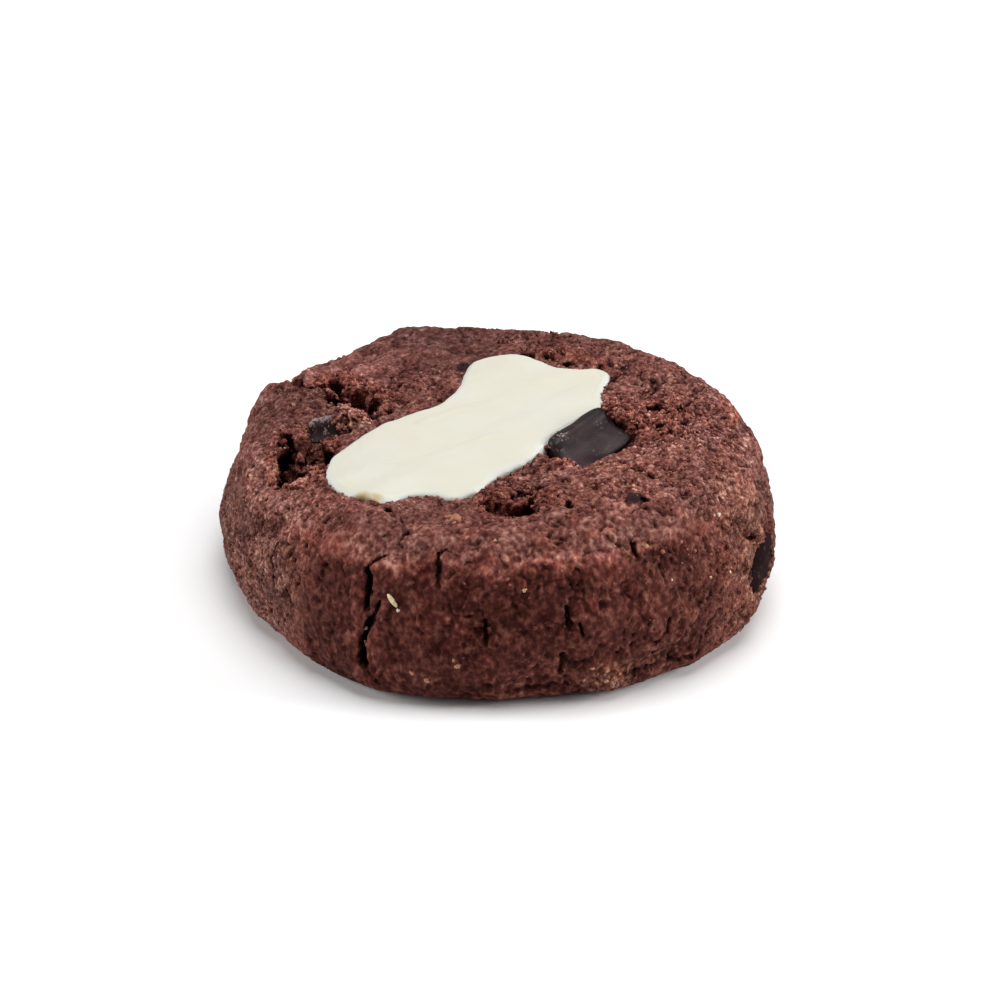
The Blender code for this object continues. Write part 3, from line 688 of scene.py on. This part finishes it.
def smooth_facets(mesh):
    """Smooths the facets of the solid away, and keeps its pits and cracks."""
    points = points_of(mesh)
    edges = edges_of(mesh)
    smooth = blur(points, edges, SMOOTH_ROUNDS)
    apart = np.linalg.norm(points - smooth, axis=1)
    keep = blur(smooth_step(apart, FACET_RISE, FORM_RISE), edges, 3)[:, None]
    points = smooth + keep * (points - smooth)
    points[:, 2] = np.maximum(points[:, 2], 0)
    set_points(mesh, points)


def shift_outline(mesh):
    """Changes the radius of the rim and of the foot a little, direction by direction."""
    points = points_of(mesh)
    turn, radius, height = around(points)
    shift = smooth_step(height, *RIM_HEIGHTS) * np.interp(turn, *zip(*RIM_SHIFTS), period=360)
    foot = 1 - smooth_step(height, *FOOT_HEIGHTS)
    shift += foot * np.interp(turn, *zip(*FOOT_SHIFTS), period=360)
    shift *= smooth_step(radius, *SHIFTED_RADII)
    points[:, :2] *= (1 + shift * MM / np.maximum(radius, MM))[:, None]
    set_points(mesh, points)


def lower_dips(mesh):
    points = points_of(mesh)
    for x, y, length, width, turn, deep in DIPS:
        dip = deep * MM * ellipse_depth(points, x, y, length, width, turn)
        points[:, 2] -= dip * smooth_step(points[:, 2], *DIP_HEIGHTS)
    set_points(mesh, points)


def dough_form():
    """The solid with its pockets closed, its facets smoothed and its outline adjusted."""
    shape = node_shape("cookie")
    for node, sink, grow in FILLS:
        pocket_fill(shape, node, Vector(sink) * MM, grow * MM)
    for middle, half, turn in LIPS:
        add_ball(shape, Vector(middle) * MM, Matrix.Rotation(math.radians(turn), 4, "Z"), half, 3)
    obj = new_object("dough", mesh_from_bmesh("dough", shape))
    remesh(obj, SMOOTH_STEP)
    close_crack(obj.data)
    smooth_facets(obj.data)
    shift_outline(obj.data)
    lower_dips(obj.data)
    return obj


# Crumbs and grains


def in_ellipse(numbers, x, y, length, width, turn):
    """A point drawn inside an ellipse, closer to its middle more often."""
    radius = numbers.uniform() ** 0.6
    angle = numbers.uniform(0, 2 * math.pi)
    u = length * radius * math.cos(angle)
    v = width * radius * math.sin(angle)
    c, n = math.cos(math.radians(turn)), math.sin(math.radians(turn))
    return x + u * c - v * n, y + u * n + v * c


def crumb_places(surface, numbers):
    """Middle and size of each crumb of the heaps, in metres."""
    places = []
    for x, y, length, width, turn, count, small, large, lift in HEAPS:
        for _ in range(count):
            spot = in_ellipse(numbers, x, y, length, width, turn)
            size = numbers.uniform(small, large) * MM
            rise = numbers.uniform(*HEAP_LIFTS) * lift * MM
            hit = drop(surface, *spot)[0]
            if hit:
                places.append((hit + Vector((0, 0, rise)), size))
    for x, y, z, spread, count, small, large, lift in WALL_HEAPS:
        for _ in range(count):
            aim = numbers.normal((x, y, z), spread * HEAP_SPREAD)
            size = numbers.uniform(small, large) * MM
            hit, normal = nearest(surface, *aim)
            places.append((hit + normal * numbers.uniform(*WALL_HEAP_LIFTS) * lift * MM, size))
    return places


def ball(subdivisions):
    """Points and faces of a ball."""
    shape = bmesh.new()
    bmesh.ops.create_icosphere(shape, subdivisions=subdivisions, radius=1)
    points = np.array([vertex.co[:] for vertex in shape.verts])
    faces = [[vertex.index for vertex in face.verts] for face in shape.faces]
    shape.free()
    return points, np.array(faces)


def crumbs_mesh(name, places, numbers, subdivisions=1):
    """All the crumbs in one mesh: lumpy balls of uneven shape."""
    base, faces = ball(subdivisions)
    middles = np.array([middle[:] for middle, _ in places])
    sizes = np.array([size for _, size in places])
    count = len(places)
    points = np.repeat(base[None], count, axis=0)
    points *= 1 + CRUMB_LUMPS * numbers.normal(size=(count, len(base), 1))
    points *= numbers.uniform(*CRUMB_STRETCH, size=(count, 1, 3))
    turns = np.linalg.qr(numbers.normal(size=(count, 3, 3)))[0]
    points = np.einsum("cij,cnj->cni", turns, points)
    points = points * sizes[:, None, None] + middles[:, None]
    every = (faces[None] + len(base) * np.arange(count)[:, None, None]).reshape(-1, 3)
    mesh = bpy.data.meshes.new(name)
    mesh.from_pydata(points.reshape(-1, 3).tolist(), [], every.tolist())
    return mesh


def grain_places(surface, bare, numbers):
    """Middle and size of each fine loose grain, in metres; none lies on the bare set pieces."""
    places = []
    for x, y, length, width, turn, count in GRAIN_PLACES:
        for _ in range(count):
            spot = in_ellipse(numbers, x, y, length, width, turn)
            size = GRAIN_SIZE * numbers.uniform(*GRAIN_RANGE) ** 2
            hit, normal = drop(surface, *spot)
            covered = drop(bare, *spot)[0]
            if hit and hit.z > GRAIN_FLOOR and (covered is None or covered.z < hit.z - COVER_GAP):
                places.append((hit + normal * size * numbers.uniform(*GRAIN_LIFTS), size))
    for turn, spread, low, high, count in WALL_GRAINS:
        for _ in range(count):
            angle = math.radians(numbers.normal(turn, spread))
            x, y = math.cos(angle) * GRAIN_RADIUS, math.sin(angle) * GRAIN_RADIUS
            aim = Vector((x * MM, y * MM, numbers.uniform(low, high) * MM))
            hit, normal = surface.find_nearest(aim)[:2]
            size = GRAIN_SIZE * numbers.uniform(*GRAIN_RANGE) ** 2
            places.append((hit + normal * size * numbers.uniform(*WALL_GRAIN_LIFTS), size))
    return places


def make_grains(dough):
    """Fine loose grains of crumb, all in one piece."""
    numbers = np.random.RandomState(GRAIN_SEED)
    shape = bmesh.new()
    for node in ("white_chocolate", "dark_chunk_top", "dark_chunk_left"):
        shape.from_mesh(NODES[node].data)
    places = grain_places(surface_of(dough.data), BVHTree.FromBMesh(shape), numbers)
    shape.free()
    mesh = crumbs_mesh("crumb_grains", places, numbers)
    low = 1 - smooth_step(np.array([middle.z for middle, _ in places]), *DARKER_BELOW)
    tones = numbers.uniform(size=len(places)) * (1 - LOW_SHADE * low)
    set_attribute(mesh, "tone", np.repeat(tones, len(mesh.vertices) // len(places)))
    finish_mesh(mesh, grain_material())
    return new_object("crumb_grains", mesh)


def make_flecks(dough):
    """The small pale flecks and the oat flake that lie on the crumb."""
    numbers = np.random.RandomState(FLECK_SEED)
    surface = surface_of(dough.data)
    places = []
    for middle, size, _ in FLECKS:
        hit, normal = nearest(surface, *middle)
        places.append((hit + normal * FLECK_LIFT * size * MM, size * MM))
    mesh = crumbs_mesh("pale_flecks", places, numbers, 2)
    tones = [tone for _, _, tone in FLECKS]
    set_attribute(mesh, "tone", np.repeat(tones, len(mesh.vertices) // len(places)))
    finish_mesh(mesh, fleck_material())
    flecks = new_object("pale_flecks", mesh)

    middle, half, turns = OAT_FLAKE
    hit, normal = nearest(surface, *middle)
    turn = Euler([math.radians(angle) for angle in turns]).to_matrix().to_4x4()
    shape = bmesh.new()
    add_ball(shape, hit + normal * FLAKE_LIFT * MM, turn, half, 4)
    mesh = mesh_from_bmesh("oat_flake", shape)
    set_attribute(mesh, "tone", np.full(len(mesh.vertices), 1.0))
    finish_mesh(mesh, fleck_material())
    return flecks, new_object("oat_flake", mesh)


# Relief of the dough


def holes_depth(points):
    """How deep the named holes and creases of the top go."""
    reach, size = HOLE_WAVER
    ragged = points.copy()
    ragged[:, :2] += reach * waver(points, size, (61.0, 67.0))
    depth = np.zeros(len(points))
    for x, y, length, width, turn, deep in HOLES:
        depth = np.maximum(depth, deep * MM * ellipse_depth(ragged, x, y, length, width, turn))
    for line, width, deep in CREASES:
        depth = np.maximum(depth, deep * MM * line_depth(ragged[:, :2] / MM, line, width))
    return depth


def cracks_depth(points):
    """How deep the named cracks of the wall go."""
    turn = np.arctan2(points[:, 1], points[:, 0]) % (2 * math.pi)
    coarse, fine = (reach * waver(points, size, seeds) for reach, size, seeds in CRACK_WAVERS)
    flat = np.column_stack((turn * WALL_RADIUS, points[:, 2] / MM)) + (coarse + fine)
    depth = np.zeros(len(points))
    for line, width, deep in CRACKS:
        path = [(math.radians(angle) * WALL_RADIUS, height) for angle, height in line]
        depth = np.maximum(depth, deep * MM * line_depth(flat, path, width))
    return depth


def coarseness(points):
    """How broken the crumb is: 1 in most places, more or less in the named ones."""
    value = np.ones(len(points))
    for x, y, reach, change in COARSE_PLACES:
        near = np.hypot(points[:, 0] / MM - x, points[:, 1] / MM - y) / reach
        value += change * np.exp(-near * near)
    return np.clip(value, 0.2, 2.0)


def softness(points):
    """1 where the crumb is smooth, on the front, up to 0.7 towards the back, and 0 between them."""
    y = points[:, 1] / MM
    return np.maximum(smooth_step(-y, *SOFT_FRONT), 0.7 * smooth_step(y, *SOFT_BACK))


def crumb_relief(points, side):
    """How far each point of the crumb stands out."""
    soft = softness(points)
    warp = WARP * waver(points, WARP_SIZE, (3.1, 7.7, 11.3))
    turn = np.arctan2(points[:, 1], points[:, 0])
    radius = np.hypot(points[:, 0], points[:, 1])
    wall = np.column_stack((turn * RELIEF_RADIUS * MM, radius, points[:, 2] * 0.8))
    where = np.where(side[:, None] > 0.5, wall, points) + warp
    seam = 1 - 0.8 * smooth_step(0.25 - np.abs(side - 0.5), 0.0, 0.2)
    coarse = coarseness(points) * (1 - 0.15 * side)

    near, far, _ = cells(where + 0.5 * warp, *CLUMPS)
    clumps = 1 - near * near
    gaps = 1 - smooth_step(far - near, 0.0, 0.30)
    gaps *= smooth_step(layer(points, "gap_places"), -0.15, 0.45)
    pits = smooth_step(layer(where, "hollows"), 0.28, 0.75)
    near, _, chance = cells(where + 1.6 * warp, *PORES)
    pores = (chance > 0.80) * smooth_step(-near, -0.12 - 0.14 * chance, -0.02)
    veins = np.abs(layer(where, "veins")) + np.abs(layer(where, "small_veins"))
    veins = smooth_step(0.10 - veins, 0.0, 0.08)
    veins *= smooth_step(layer(points, "vein_places"), -0.05, 0.25)
    knobs = layer(points, "knobs") * smooth_step(0.30 - np.abs(side - 0.45), 0.0, 0.2)
    relief = BROAD_RISE * layer(points, "broad") + KNOB_RISE * knobs + seam * (
        LUMP_RISE * layer(where, "lumps")
        + (FINE_RISE - 0.03 * side) * (1 - 0.6 * soft) * layer(where, "fine")
        + coarse * (1 - 0.25 * soft) * (CLUMP_RISE * clumps - GAP_DEPTH * gaps - PIT_DEPTH * pits)
        - VEIN_DEPTH * veins
        - (PORE_DEPTH + 0.35 * chance) * pores * (1 - 0.5 * side)
    )
    return relief * MM


def openness(mesh):
    """Share of the rays from each point that get away; the crumb's material paints shade where few get
    away.
    """
    surface = surface_of(mesh)
    numbers = np.random.RandomState(RAY_SEED)
    ways = numbers.normal(size=(OPEN_RAYS, 3))
    ways /= np.linalg.norm(ways, axis=1)[:, None]
    values = np.empty(len(mesh.vertices))
    for i, (point, normal) in enumerate(zip(points_of(mesh), normals_of(mesh))):
        start = Vector(point + normal * OPEN_LIFT * MM)
        open_rays = 0
        for way in ways + 1.05 * normal:
            open_rays += surface.ray_cast(start, Vector(way), OPEN_REACH)[0] is None
        values[i] = open_rays / OPEN_RAYS
    return values


def add_heaps(obj):
    """Joins the crumbs of the heaps to the dough, and returns their middles."""
    numbers = np.random.RandomState(HEAP_SEED)
    shape = bmesh.new()
    shape.from_mesh(obj.data)
    places = crumb_places(BVHTree.FromBMesh(shape), numbers)
    shape.from_mesh(crumbs_mesh("heaps", places, numbers))
    obj.data = mesh_from_bmesh("dough", shape)
    remesh(obj, CRUMB_STEP)
    return [middle for middle, _ in places]


def shape_crumb(mesh):
    """Shapes crumb, holes and cracks; returns the points, their relief and how far they face sideways."""
    edges = edges_of(mesh)
    points = blur(points_of(mesh), edges, 2)
    set_points(mesh, points)
    normals = blur(normals_of(mesh), edges, 4)
    normals /= np.linalg.norm(normals, axis=1)[:, None]

    shown = (points[:, 2] > 0.3 * MM) & (normals[:, 2] > -0.8)
    side = 1 - smooth_step(blur(normals[:, 2], edges, 30), 0.3, 0.72)
    relief = np.zeros(len(points))
    relief[shown] = crumb_relief(points[shown], side[shown])
    relief *= smooth_step(points[:, 2], *FOOT_RISE)
    moved = points + normals * relief[:, None]
    top = shown & (points[:, 2] > HOLES_ABOVE)
    moved[top] += holes_depth(points[top])[:, None] * np.array(HOLE_WAY)
    wall = shown & (side > 0.01) & (np.hypot(points[:, 0], points[:, 1]) > CRACKS_OUTSIDE)
    inward = -points[wall] * (1, 1, 0) / np.linalg.norm(points[wall, :2], axis=1)[:, None]
    inward = (1 - CRACK_LEAN) * inward + CRACK_LEAN * np.array(CRACK_WAY)
    moved[wall] += inward * cracks_depth(points[wall])[:, None]
    moved[:, 2] = np.maximum(moved[:, 2], 0)
    set_points(mesh, moved)
    return moved, blur(relief, edges, 1), side


def make_dough():
    obj = dough_form()
    heaps = point_tree(add_heaps(obj))
    points, level, side = shape_crumb(obj.data)
    fine = point_tree(points.tolist())
    decimate(obj, DOUGH_TRIANGLES)
    mesh = obj.data
    kept = points_of(mesh)
    source = np.array([fine.find(point)[1] for point in kept.tolist()])
    broken = np.array([heaps.find(point)[2] for point in kept.tolist()])
    chips = np.max([ellipse_depth(kept, *chip) for chip in DARK_CHIPS], axis=0)
    values = {
        "level": level[source] / MM,
        "side": side[source],
        "front": side[source] * smooth_step(-kept[:, 1], *FRONT_EDGE),
        "soft": softness(kept),
        "chip": np.minimum(2.5 * chips, 1),
        "broken": 1 - smooth_step(broken, *BROKEN_REACH),
        "open": openness(mesh),
    }
    for name, value in values.items():
        set_attribute(mesh, name, value)
    finish_mesh(mesh, dough_material())
    return obj


# Set pieces


def make_set_piece(name, node, step, grow, rounds):
    """A smooth copy of a node, grown a little sideways into the dough."""
    obj = new_object(name, mesh_from_bmesh(name, node_shape(node)))
    remesh(obj, step)
    mesh = obj.data
    points = blur(points_of(mesh), edges_of(mesh), rounds)
    set_points(mesh, points)
    points[:, :2] += grow * normals_of(mesh)[:, :2]
    set_points(mesh, points)
    return obj


def make_pool():
    obj = make_set_piece("white_chocolate_pool", "white_chocolate", *POOL_FORM)
    mesh = obj.data
    edges = edges_of(mesh)
    points = points_of(mesh)
    upward = normals_of(mesh)[:, 2]
    edge = blur(1 - smooth_step(upward, 0.80, 0.97), edges, 10)
    inner = smooth_step(1 - blur(edge, edges, 12), 0.75, 1.0) * (upward > 0.5)
    soft = blur(points, edges, 40)
    points[:, 2] += inner * (soft[:, 2] - points[:, 2])
    turn = math.radians(POOL_FLOW)
    along = points[:, 0] * math.cos(turn) + points[:, 1] * math.sin(turn)
    across = points[:, 1] * math.cos(turn) - points[:, 0] * math.sin(turn)
    bend, length = FLOW_BEND
    bent = across + bend * np.sin(along / length)
    swirl = layer(np.column_stack((along / FLOW_STRETCH, bent, 0 * bent)), "swirl")
    points[:, 2] += inner * (SWIRL_RISE * swirl)
    for line in POOL_RIDGES:
        points[:, 2] += inner * RIDGE_RISE * MM * line_depth(points[:, :2] / MM, line, RIDGE_WIDTH)
    for values in POOL_NUDGES:
        nudge(points, *values)
    for size, reach in POOL_WOBBLES:
        points[:, :2] += reach * MM * waver(points * (1, 1, 0), size * MM, (81.0, 83.0))
    set_points(mesh, points)
    set_attribute(mesh, "edge", edge)
    set_attribute(mesh, "swirl", inner * swirl)
    finish_mesh(mesh, white_material())
    return obj


def make_chunk(node, roughness, specular, shaded_lightness, grow, shift):
    """A dark chunk. The one in the top is tilted up towards its lip of dough."""
    obj = make_set_piece(node + "_piece", node, CHUNK_STEP, grow * MM, CHUNK_ROUNDS)
    mesh = obj.data
    middle = Vector(points_of(mesh).mean(axis=0))
    length, turn, tilt = CHUNK_POSES.get(node, (1, 0, 0))
    axis_turn = Matrix.Rotation(math.radians(CHUNK_AXIS), 4, "Z")
    mesh.transform(
        Matrix.Translation(middle + Vector(shift) * MM)
        @ Matrix.Rotation(math.radians(turn), 4, "Z")
        @ axis_turn
        @ Matrix.Rotation(-math.radians(tilt), 4, "Y")
        @ Matrix.Diagonal((length, 1, 1, 1))
        @ axis_turn.inverted()
        @ Matrix.Translation(-middle)
    )
    points = points_of(mesh)
    for values in CHUNK_NUDGES.get(node, ()):
        nudge(points, *values)
    set_points(mesh, points)
    finish_mesh(mesh, dark_material(node, roughness, specular, shaded_lightness))
    return obj


# Materials


def new_material(name, values):
    """A material with these values on its shader, its nodes, and its place in the object."""
    material = bpy.data.materials.new(name)
    material.use_nodes = True
    shader = material.node_tree.nodes["Principled BSDF"]
    for socket, value in values.items():
        shader.inputs[socket].default_value = value
    where = add(material.node_tree, "TexCoord", {}).outputs["Object"]
    return material, material.node_tree, where


def add(tree, kind, inputs, **settings):
    """A node with these settings, whose inputs are values or other nodes' outputs."""
    node = tree.nodes.new("ShaderNode" + kind)
    for key, value in settings.items():
        setattr(node, key, value)
    for key, value in inputs.items():
        if isinstance(value, bpy.types.NodeSocket):
            tree.links.new(value, node.inputs[key])
        else:
            node.inputs[key].default_value = value
    return node


def connect(tree, colour, bump=None):
    """Leads the colour to the shader, and the bump if there is one."""
    shader = tree.nodes["Principled BSDF"]
    tree.links.new(colour, shader.inputs["Base Color"])
    if bump:
        tree.links.new(bump, shader.inputs["Normal"])


def scaled(tree, where, scale):
    return add(tree, "VectorMath", {0: where, 1: scale}, operation="MULTIPLY").outputs[0]


def maths(tree, operation, first, second=0.0, third=0.0):
    return add(tree, "Math", {0: first, 1: second, 2: third}, operation=operation).outputs[0]


def attribute(tree, name):
    return add(tree, "Attribute", {}, attribute_name=name).outputs["Fac"]


def cell_node(tree, where, size):
    return add(tree, "TexVoronoi", {"Vector": where, "Scale": 1 / size})


def cell_random(tree, node, channel=0):
    """One of the three random numbers of each cell."""
    return add(tree, "SeparateColor", {0: node.outputs["Color"]}).outputs[channel]


def remap(tree, value, low, high, new_low=0.0, new_high=1.0):
    inputs = {0: value, 1: low, 2: high, 3: new_low, 4: new_high}
    return add(tree, "MapRange", inputs).outputs[0]


def cloud(tree, where, name):
    """One of the named clouds of noise."""
    size, detail, *ranges = CLOUDS[name]
    inputs = {"Vector": where, "Scale": 1 / (size * MM), "Detail": detail}
    value = add(tree, "TexNoise", inputs).outputs["Fac"]
    return remap(tree, value, *ranges) if ranges else value


def ramp(tree, factor, stops):
    node = add(tree, "ValToRGB", {0: factor})
    points = node.color_ramp.elements
    while len(points) < len(stops):
        points.new(1.0)
    for point, (position, colour) in zip(points, stops):
        point.position = position
        point.color = (*colour, 1)
    return node.outputs["Color"]


def mix(tree, factor, first, second, kind="MIX"):
    node = add(tree, "Mix", {0: factor, 6: first, 7: second}, data_type="RGBA", blend_type=kind)
    return node.outputs[2]


def multiply(tree, colour, other, factor=1.0):
    return mix(tree, factor, colour, other, "MULTIPLY")


def bump_of(tree, height, bump):
    values = {"Strength": bump[0], "Distance": bump[1], "Height": height}
    return add(tree, "Bump", values).outputs[0]


def place_mask(tree, where, middle, reach):
    """0.9 near a place in mm, given from above or with its height, and 0 beyond its reach."""
    if len(middle) == 2:
        where = scaled(tree, where, (1, 1, 0))
        middle = (*middle, 0)
    spot = Vector(middle) * MM
    apart = add(tree, "VectorMath", {0: where, 1: spot}, operation="DISTANCE").outputs["Value"]
    return remap(tree, apart, 0.3 * reach * MM, reach * MM, 0.9, 0.0)


def tinted(tree, where, colour, tints):
    for middle, reach, tint in tints:
        colour = multiply(tree, colour, (*tint, 1), place_mask(tree, where, middle, reach))
    return colour


def dough_material():
    material, tree, where = new_material("crumb", DOUGH_SHADER)
    side = attribute(tree, "side")
    soft = attribute(tree, "soft")
    wall_grain = cloud(tree, scaled(tree, where, WALL_GRAIN_SCALE), "wall_grain")
    grains = {0: soft, 2: cloud(tree, where, "top_grain"), 3: wall_grain}
    grain = add(tree, "Mix", grains, data_type="FLOAT").outputs[0]
    cell = cell_random(tree, cell_node(tree, where, TONE_CELLS))
    tone = maths(tree, "MULTIPLY", cell, CELL_TONE)
    tone = maths(tree, "MULTIPLY_ADD", grain, GRAIN_TONE, tone)
    tone = maths(tree, "MULTIPLY_ADD", cloud(tree, where, "patch"), PATCH_TONE, tone)
    colour = ramp(tree, tone, CRUMB_COLOURS)
    warm = maths(tree, "MAXIMUM", cloud(tree, where, "warm"), attribute(tree, "broken"))
    colour = multiply(tree, colour, WARM_TINT, warm)
    colour = multiply(tree, colour, COOL_TINT, cloud(tree, where, "cool"))

    fine = cell_node(tree, where, FINE_CELLS).outputs["Distance"]
    height = maths(tree, "MULTIPLY_ADD", fine, -0.9, cloud(tree, where, "rough"))
    height = maths(tree, "MULTIPLY", height, remap(tree, soft, 0.0, 1.0, 1.0, 0.15))
    speck = cell_node(tree, where, SPECK_CELLS)
    reach = remap(tree, cell_random(tree, speck, 1), *SPECK_CHANCE, 0.0, SPECK_REACH)
    reach = maths(tree, "MULTIPLY", reach, remap(tree, soft, 0.0, 1.0, 1.0, 0.3))
    gap = maths(tree, "SUBTRACT", speck.outputs["Distance"], reach)
    # Painted light and shade: the top paler and the walls darker, the front rim lighter and the front
    # wall darker, and the crumb darker in its hollows, bump hollows, pores and where it is closed in
    shades = (
        (side, TOP_SHEEN_WALL_SHADE_TINT),
        (attribute(tree, "front"), FRONT_RIM_LIGHT_WALL_SHADE_TINT),
        (remap(tree, attribute(tree, "level"), *LEVEL_RANGE), HOLLOW_SHADE_TINT),
        (attribute(tree, "open"), OCCLUSION_SHADE_TINT),
        (remap(tree, height, *DIP_RANGE), BUMP_HOLLOW_SHADE_TINT),
        (remap(tree, gap, *GAP_RANGE), PORE_SHADE_TINT),
    )
    for factor, stops in shades:
        colour = multiply(tree, colour, ramp(tree, factor, stops))
    # Its own paler and darker places, and painted light and shade on the walls, rim, foot and back
    colour = tinted(tree, where, colour, TONE_AND_PAINTED_LIGHT_PLACES)
    colour = mix(tree, attribute(tree, "chip"), colour, CHIP_COLOUR)
    connect(tree, colour, bump_of(tree, height, DOUGH_BUMP))
    return material


def grain_material():
    material, tree, where = new_material("grains", GRAIN_SHADER)
    colour = ramp(tree, attribute(tree, "tone"), GRAIN_COLOURS)
    colour = multiply(tree, colour, cloud(tree, where, "grain"))
    # The same places of own tone and painted light and shade as on the dough
    connect(tree, tinted(tree, where, colour, TONE_AND_PAINTED_LIGHT_PLACES))
    return material


def fleck_material():
    material, tree, where = new_material("flecks", FLECK_SHADER)
    colour = ramp(tree, attribute(tree, "tone"), FLECK_COLOURS)
    connect(tree, multiply(tree, colour, cloud(tree, where, "fleck")))
    return material


def white_material():
    material, tree, where = new_material("white_chocolate", WHITE_SHADER)
    colour = ramp(tree, cloud(tree, where, "white"), WHITE_COLOURS)
    swirl = remap(tree, attribute(tree, "swirl"), *SWIRL_RANGE)
    colour = mix(tree, swirl, colour, SWIRL_COLOUR)
    # Painted shade on the pool's rounded edge
    edge = maths(tree, "MULTIPLY", attribute(tree, "edge"), 0.8)
    colour = mix(tree, edge, colour, EDGE_SHADE_COLOUR)
    for middle, reach in STAINS:
        colour = mix(tree, place_mask(tree, where, middle, reach), colour, STAIN_COLOUR)
    connect(tree, colour, bump_of(tree, cloud(tree, where, "streak"), WHITE_BUMP))
    return material


def dark_material(name, roughness, specular, shaded_lightness):
    values = {"Roughness": roughness, "Specular IOR Level": specular}
    material, tree, where = new_material(name, values)
    colour = ramp(tree, cloud(tree, where, "dark"), DARK_COLOURS)
    # Painted shade: darker on the chunks that catch less light
    colour = multiply(tree, colour, (shaded_lightness, shaded_lightness, shaded_lightness, 1))
    dust = cell_random(tree, cell_node(tree, where, DUST_CELLS))
    patch = cloud(tree, where, "dust")
    for middle, reach, share in CHUNK_DUST.get(name, ()):
        near = place_mask(tree, where, middle, reach)
        patch = maths(tree, "MAXIMUM", patch, near)
        dust = maths(tree, "MULTIPLY_ADD", near, share, dust)
    dust = maths(tree, "MULTIPLY", remap(tree, dust, *DUST_RANGE), patch)
    # Painted shade on the chunk's face
    colour = tinted(tree, where, colour, CHUNK_PAINTED_SHADE.get(name, ()))
    colour = mix(tree, dust, colour, DUST_COLOUR)
    connect(tree, colour, bump_of(tree, cloud(tree, where, "dark_fine"), DARK_BUMP))
    return material


# Stage


def make_floor():
    material, tree, where = new_material("floor", FLOOR_SHADER)
    connect(tree, ramp(tree, cloud(tree, where, "floor"), FLOOR_COLOURS))
    shape = bmesh.new()
    bmesh.ops.create_grid(shape, x_segments=1, y_segments=1, size=FLOOR_SIZE)
    obj = new_object("floor", mesh_from_bmesh("floor", shape))
    obj.data.materials.append(material)


def make_camera():
    data = bpy.data.cameras.new("camera")
    data.lens = LENS
    data.sensor_width = SENSOR
    data.clip_start = 0.01
    obj = new_object("camera", data)
    back = Vector((0, -math.cos(ELEVATION), math.sin(ELEVATION)))
    obj.location = AIM + back * DISTANCE
    obj.rotation_euler = (-back).to_track_quat("-Z", "Y").to_euler()
    bpy.context.scene.camera = obj


def make_lights():
    for name, spot, size, power in LIGHTS:
        data = bpy.data.lights.new(name, "AREA")
        data.shape = "DISK"
        data.size = size * MM
        data.energy = power
        obj = new_object(name, data)
        obj.location = Vector(spot) * MM
        obj.rotation_euler = (AIM - obj.location).to_track_quat("-Z", "Y").to_euler()
    world = bpy.data.worlds.new("world")
    world.use_nodes = True
    background = world.node_tree.nodes["Background"]
    background.inputs["Color"].default_value = (1, 1, 1, 1)
    background.inputs["Strength"].default_value = WORLD_LIGHT
    bpy.context.scene.world = world
    bpy.context.scene.view_settings.view_transform = "Standard"


# Assembly


def main():
    make_camera()
    make_lights()
    make_floor()
    dough = make_dough()
    grains = make_grains(dough)
    for piece in (grains, *make_flecks(dough)):
        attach(piece, "root")
    pieces = [
        (dough, "cookie", "dough"),
        (make_pool(), "white_chocolate", "white_chocolate"),
    ]
    for node, *values in CHUNKS:
        pieces.append((make_chunk(node, *values), node, "dark_chocolate"))
    for piece, node, slot in pieces:
        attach(piece, "root")
        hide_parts(node)


main()
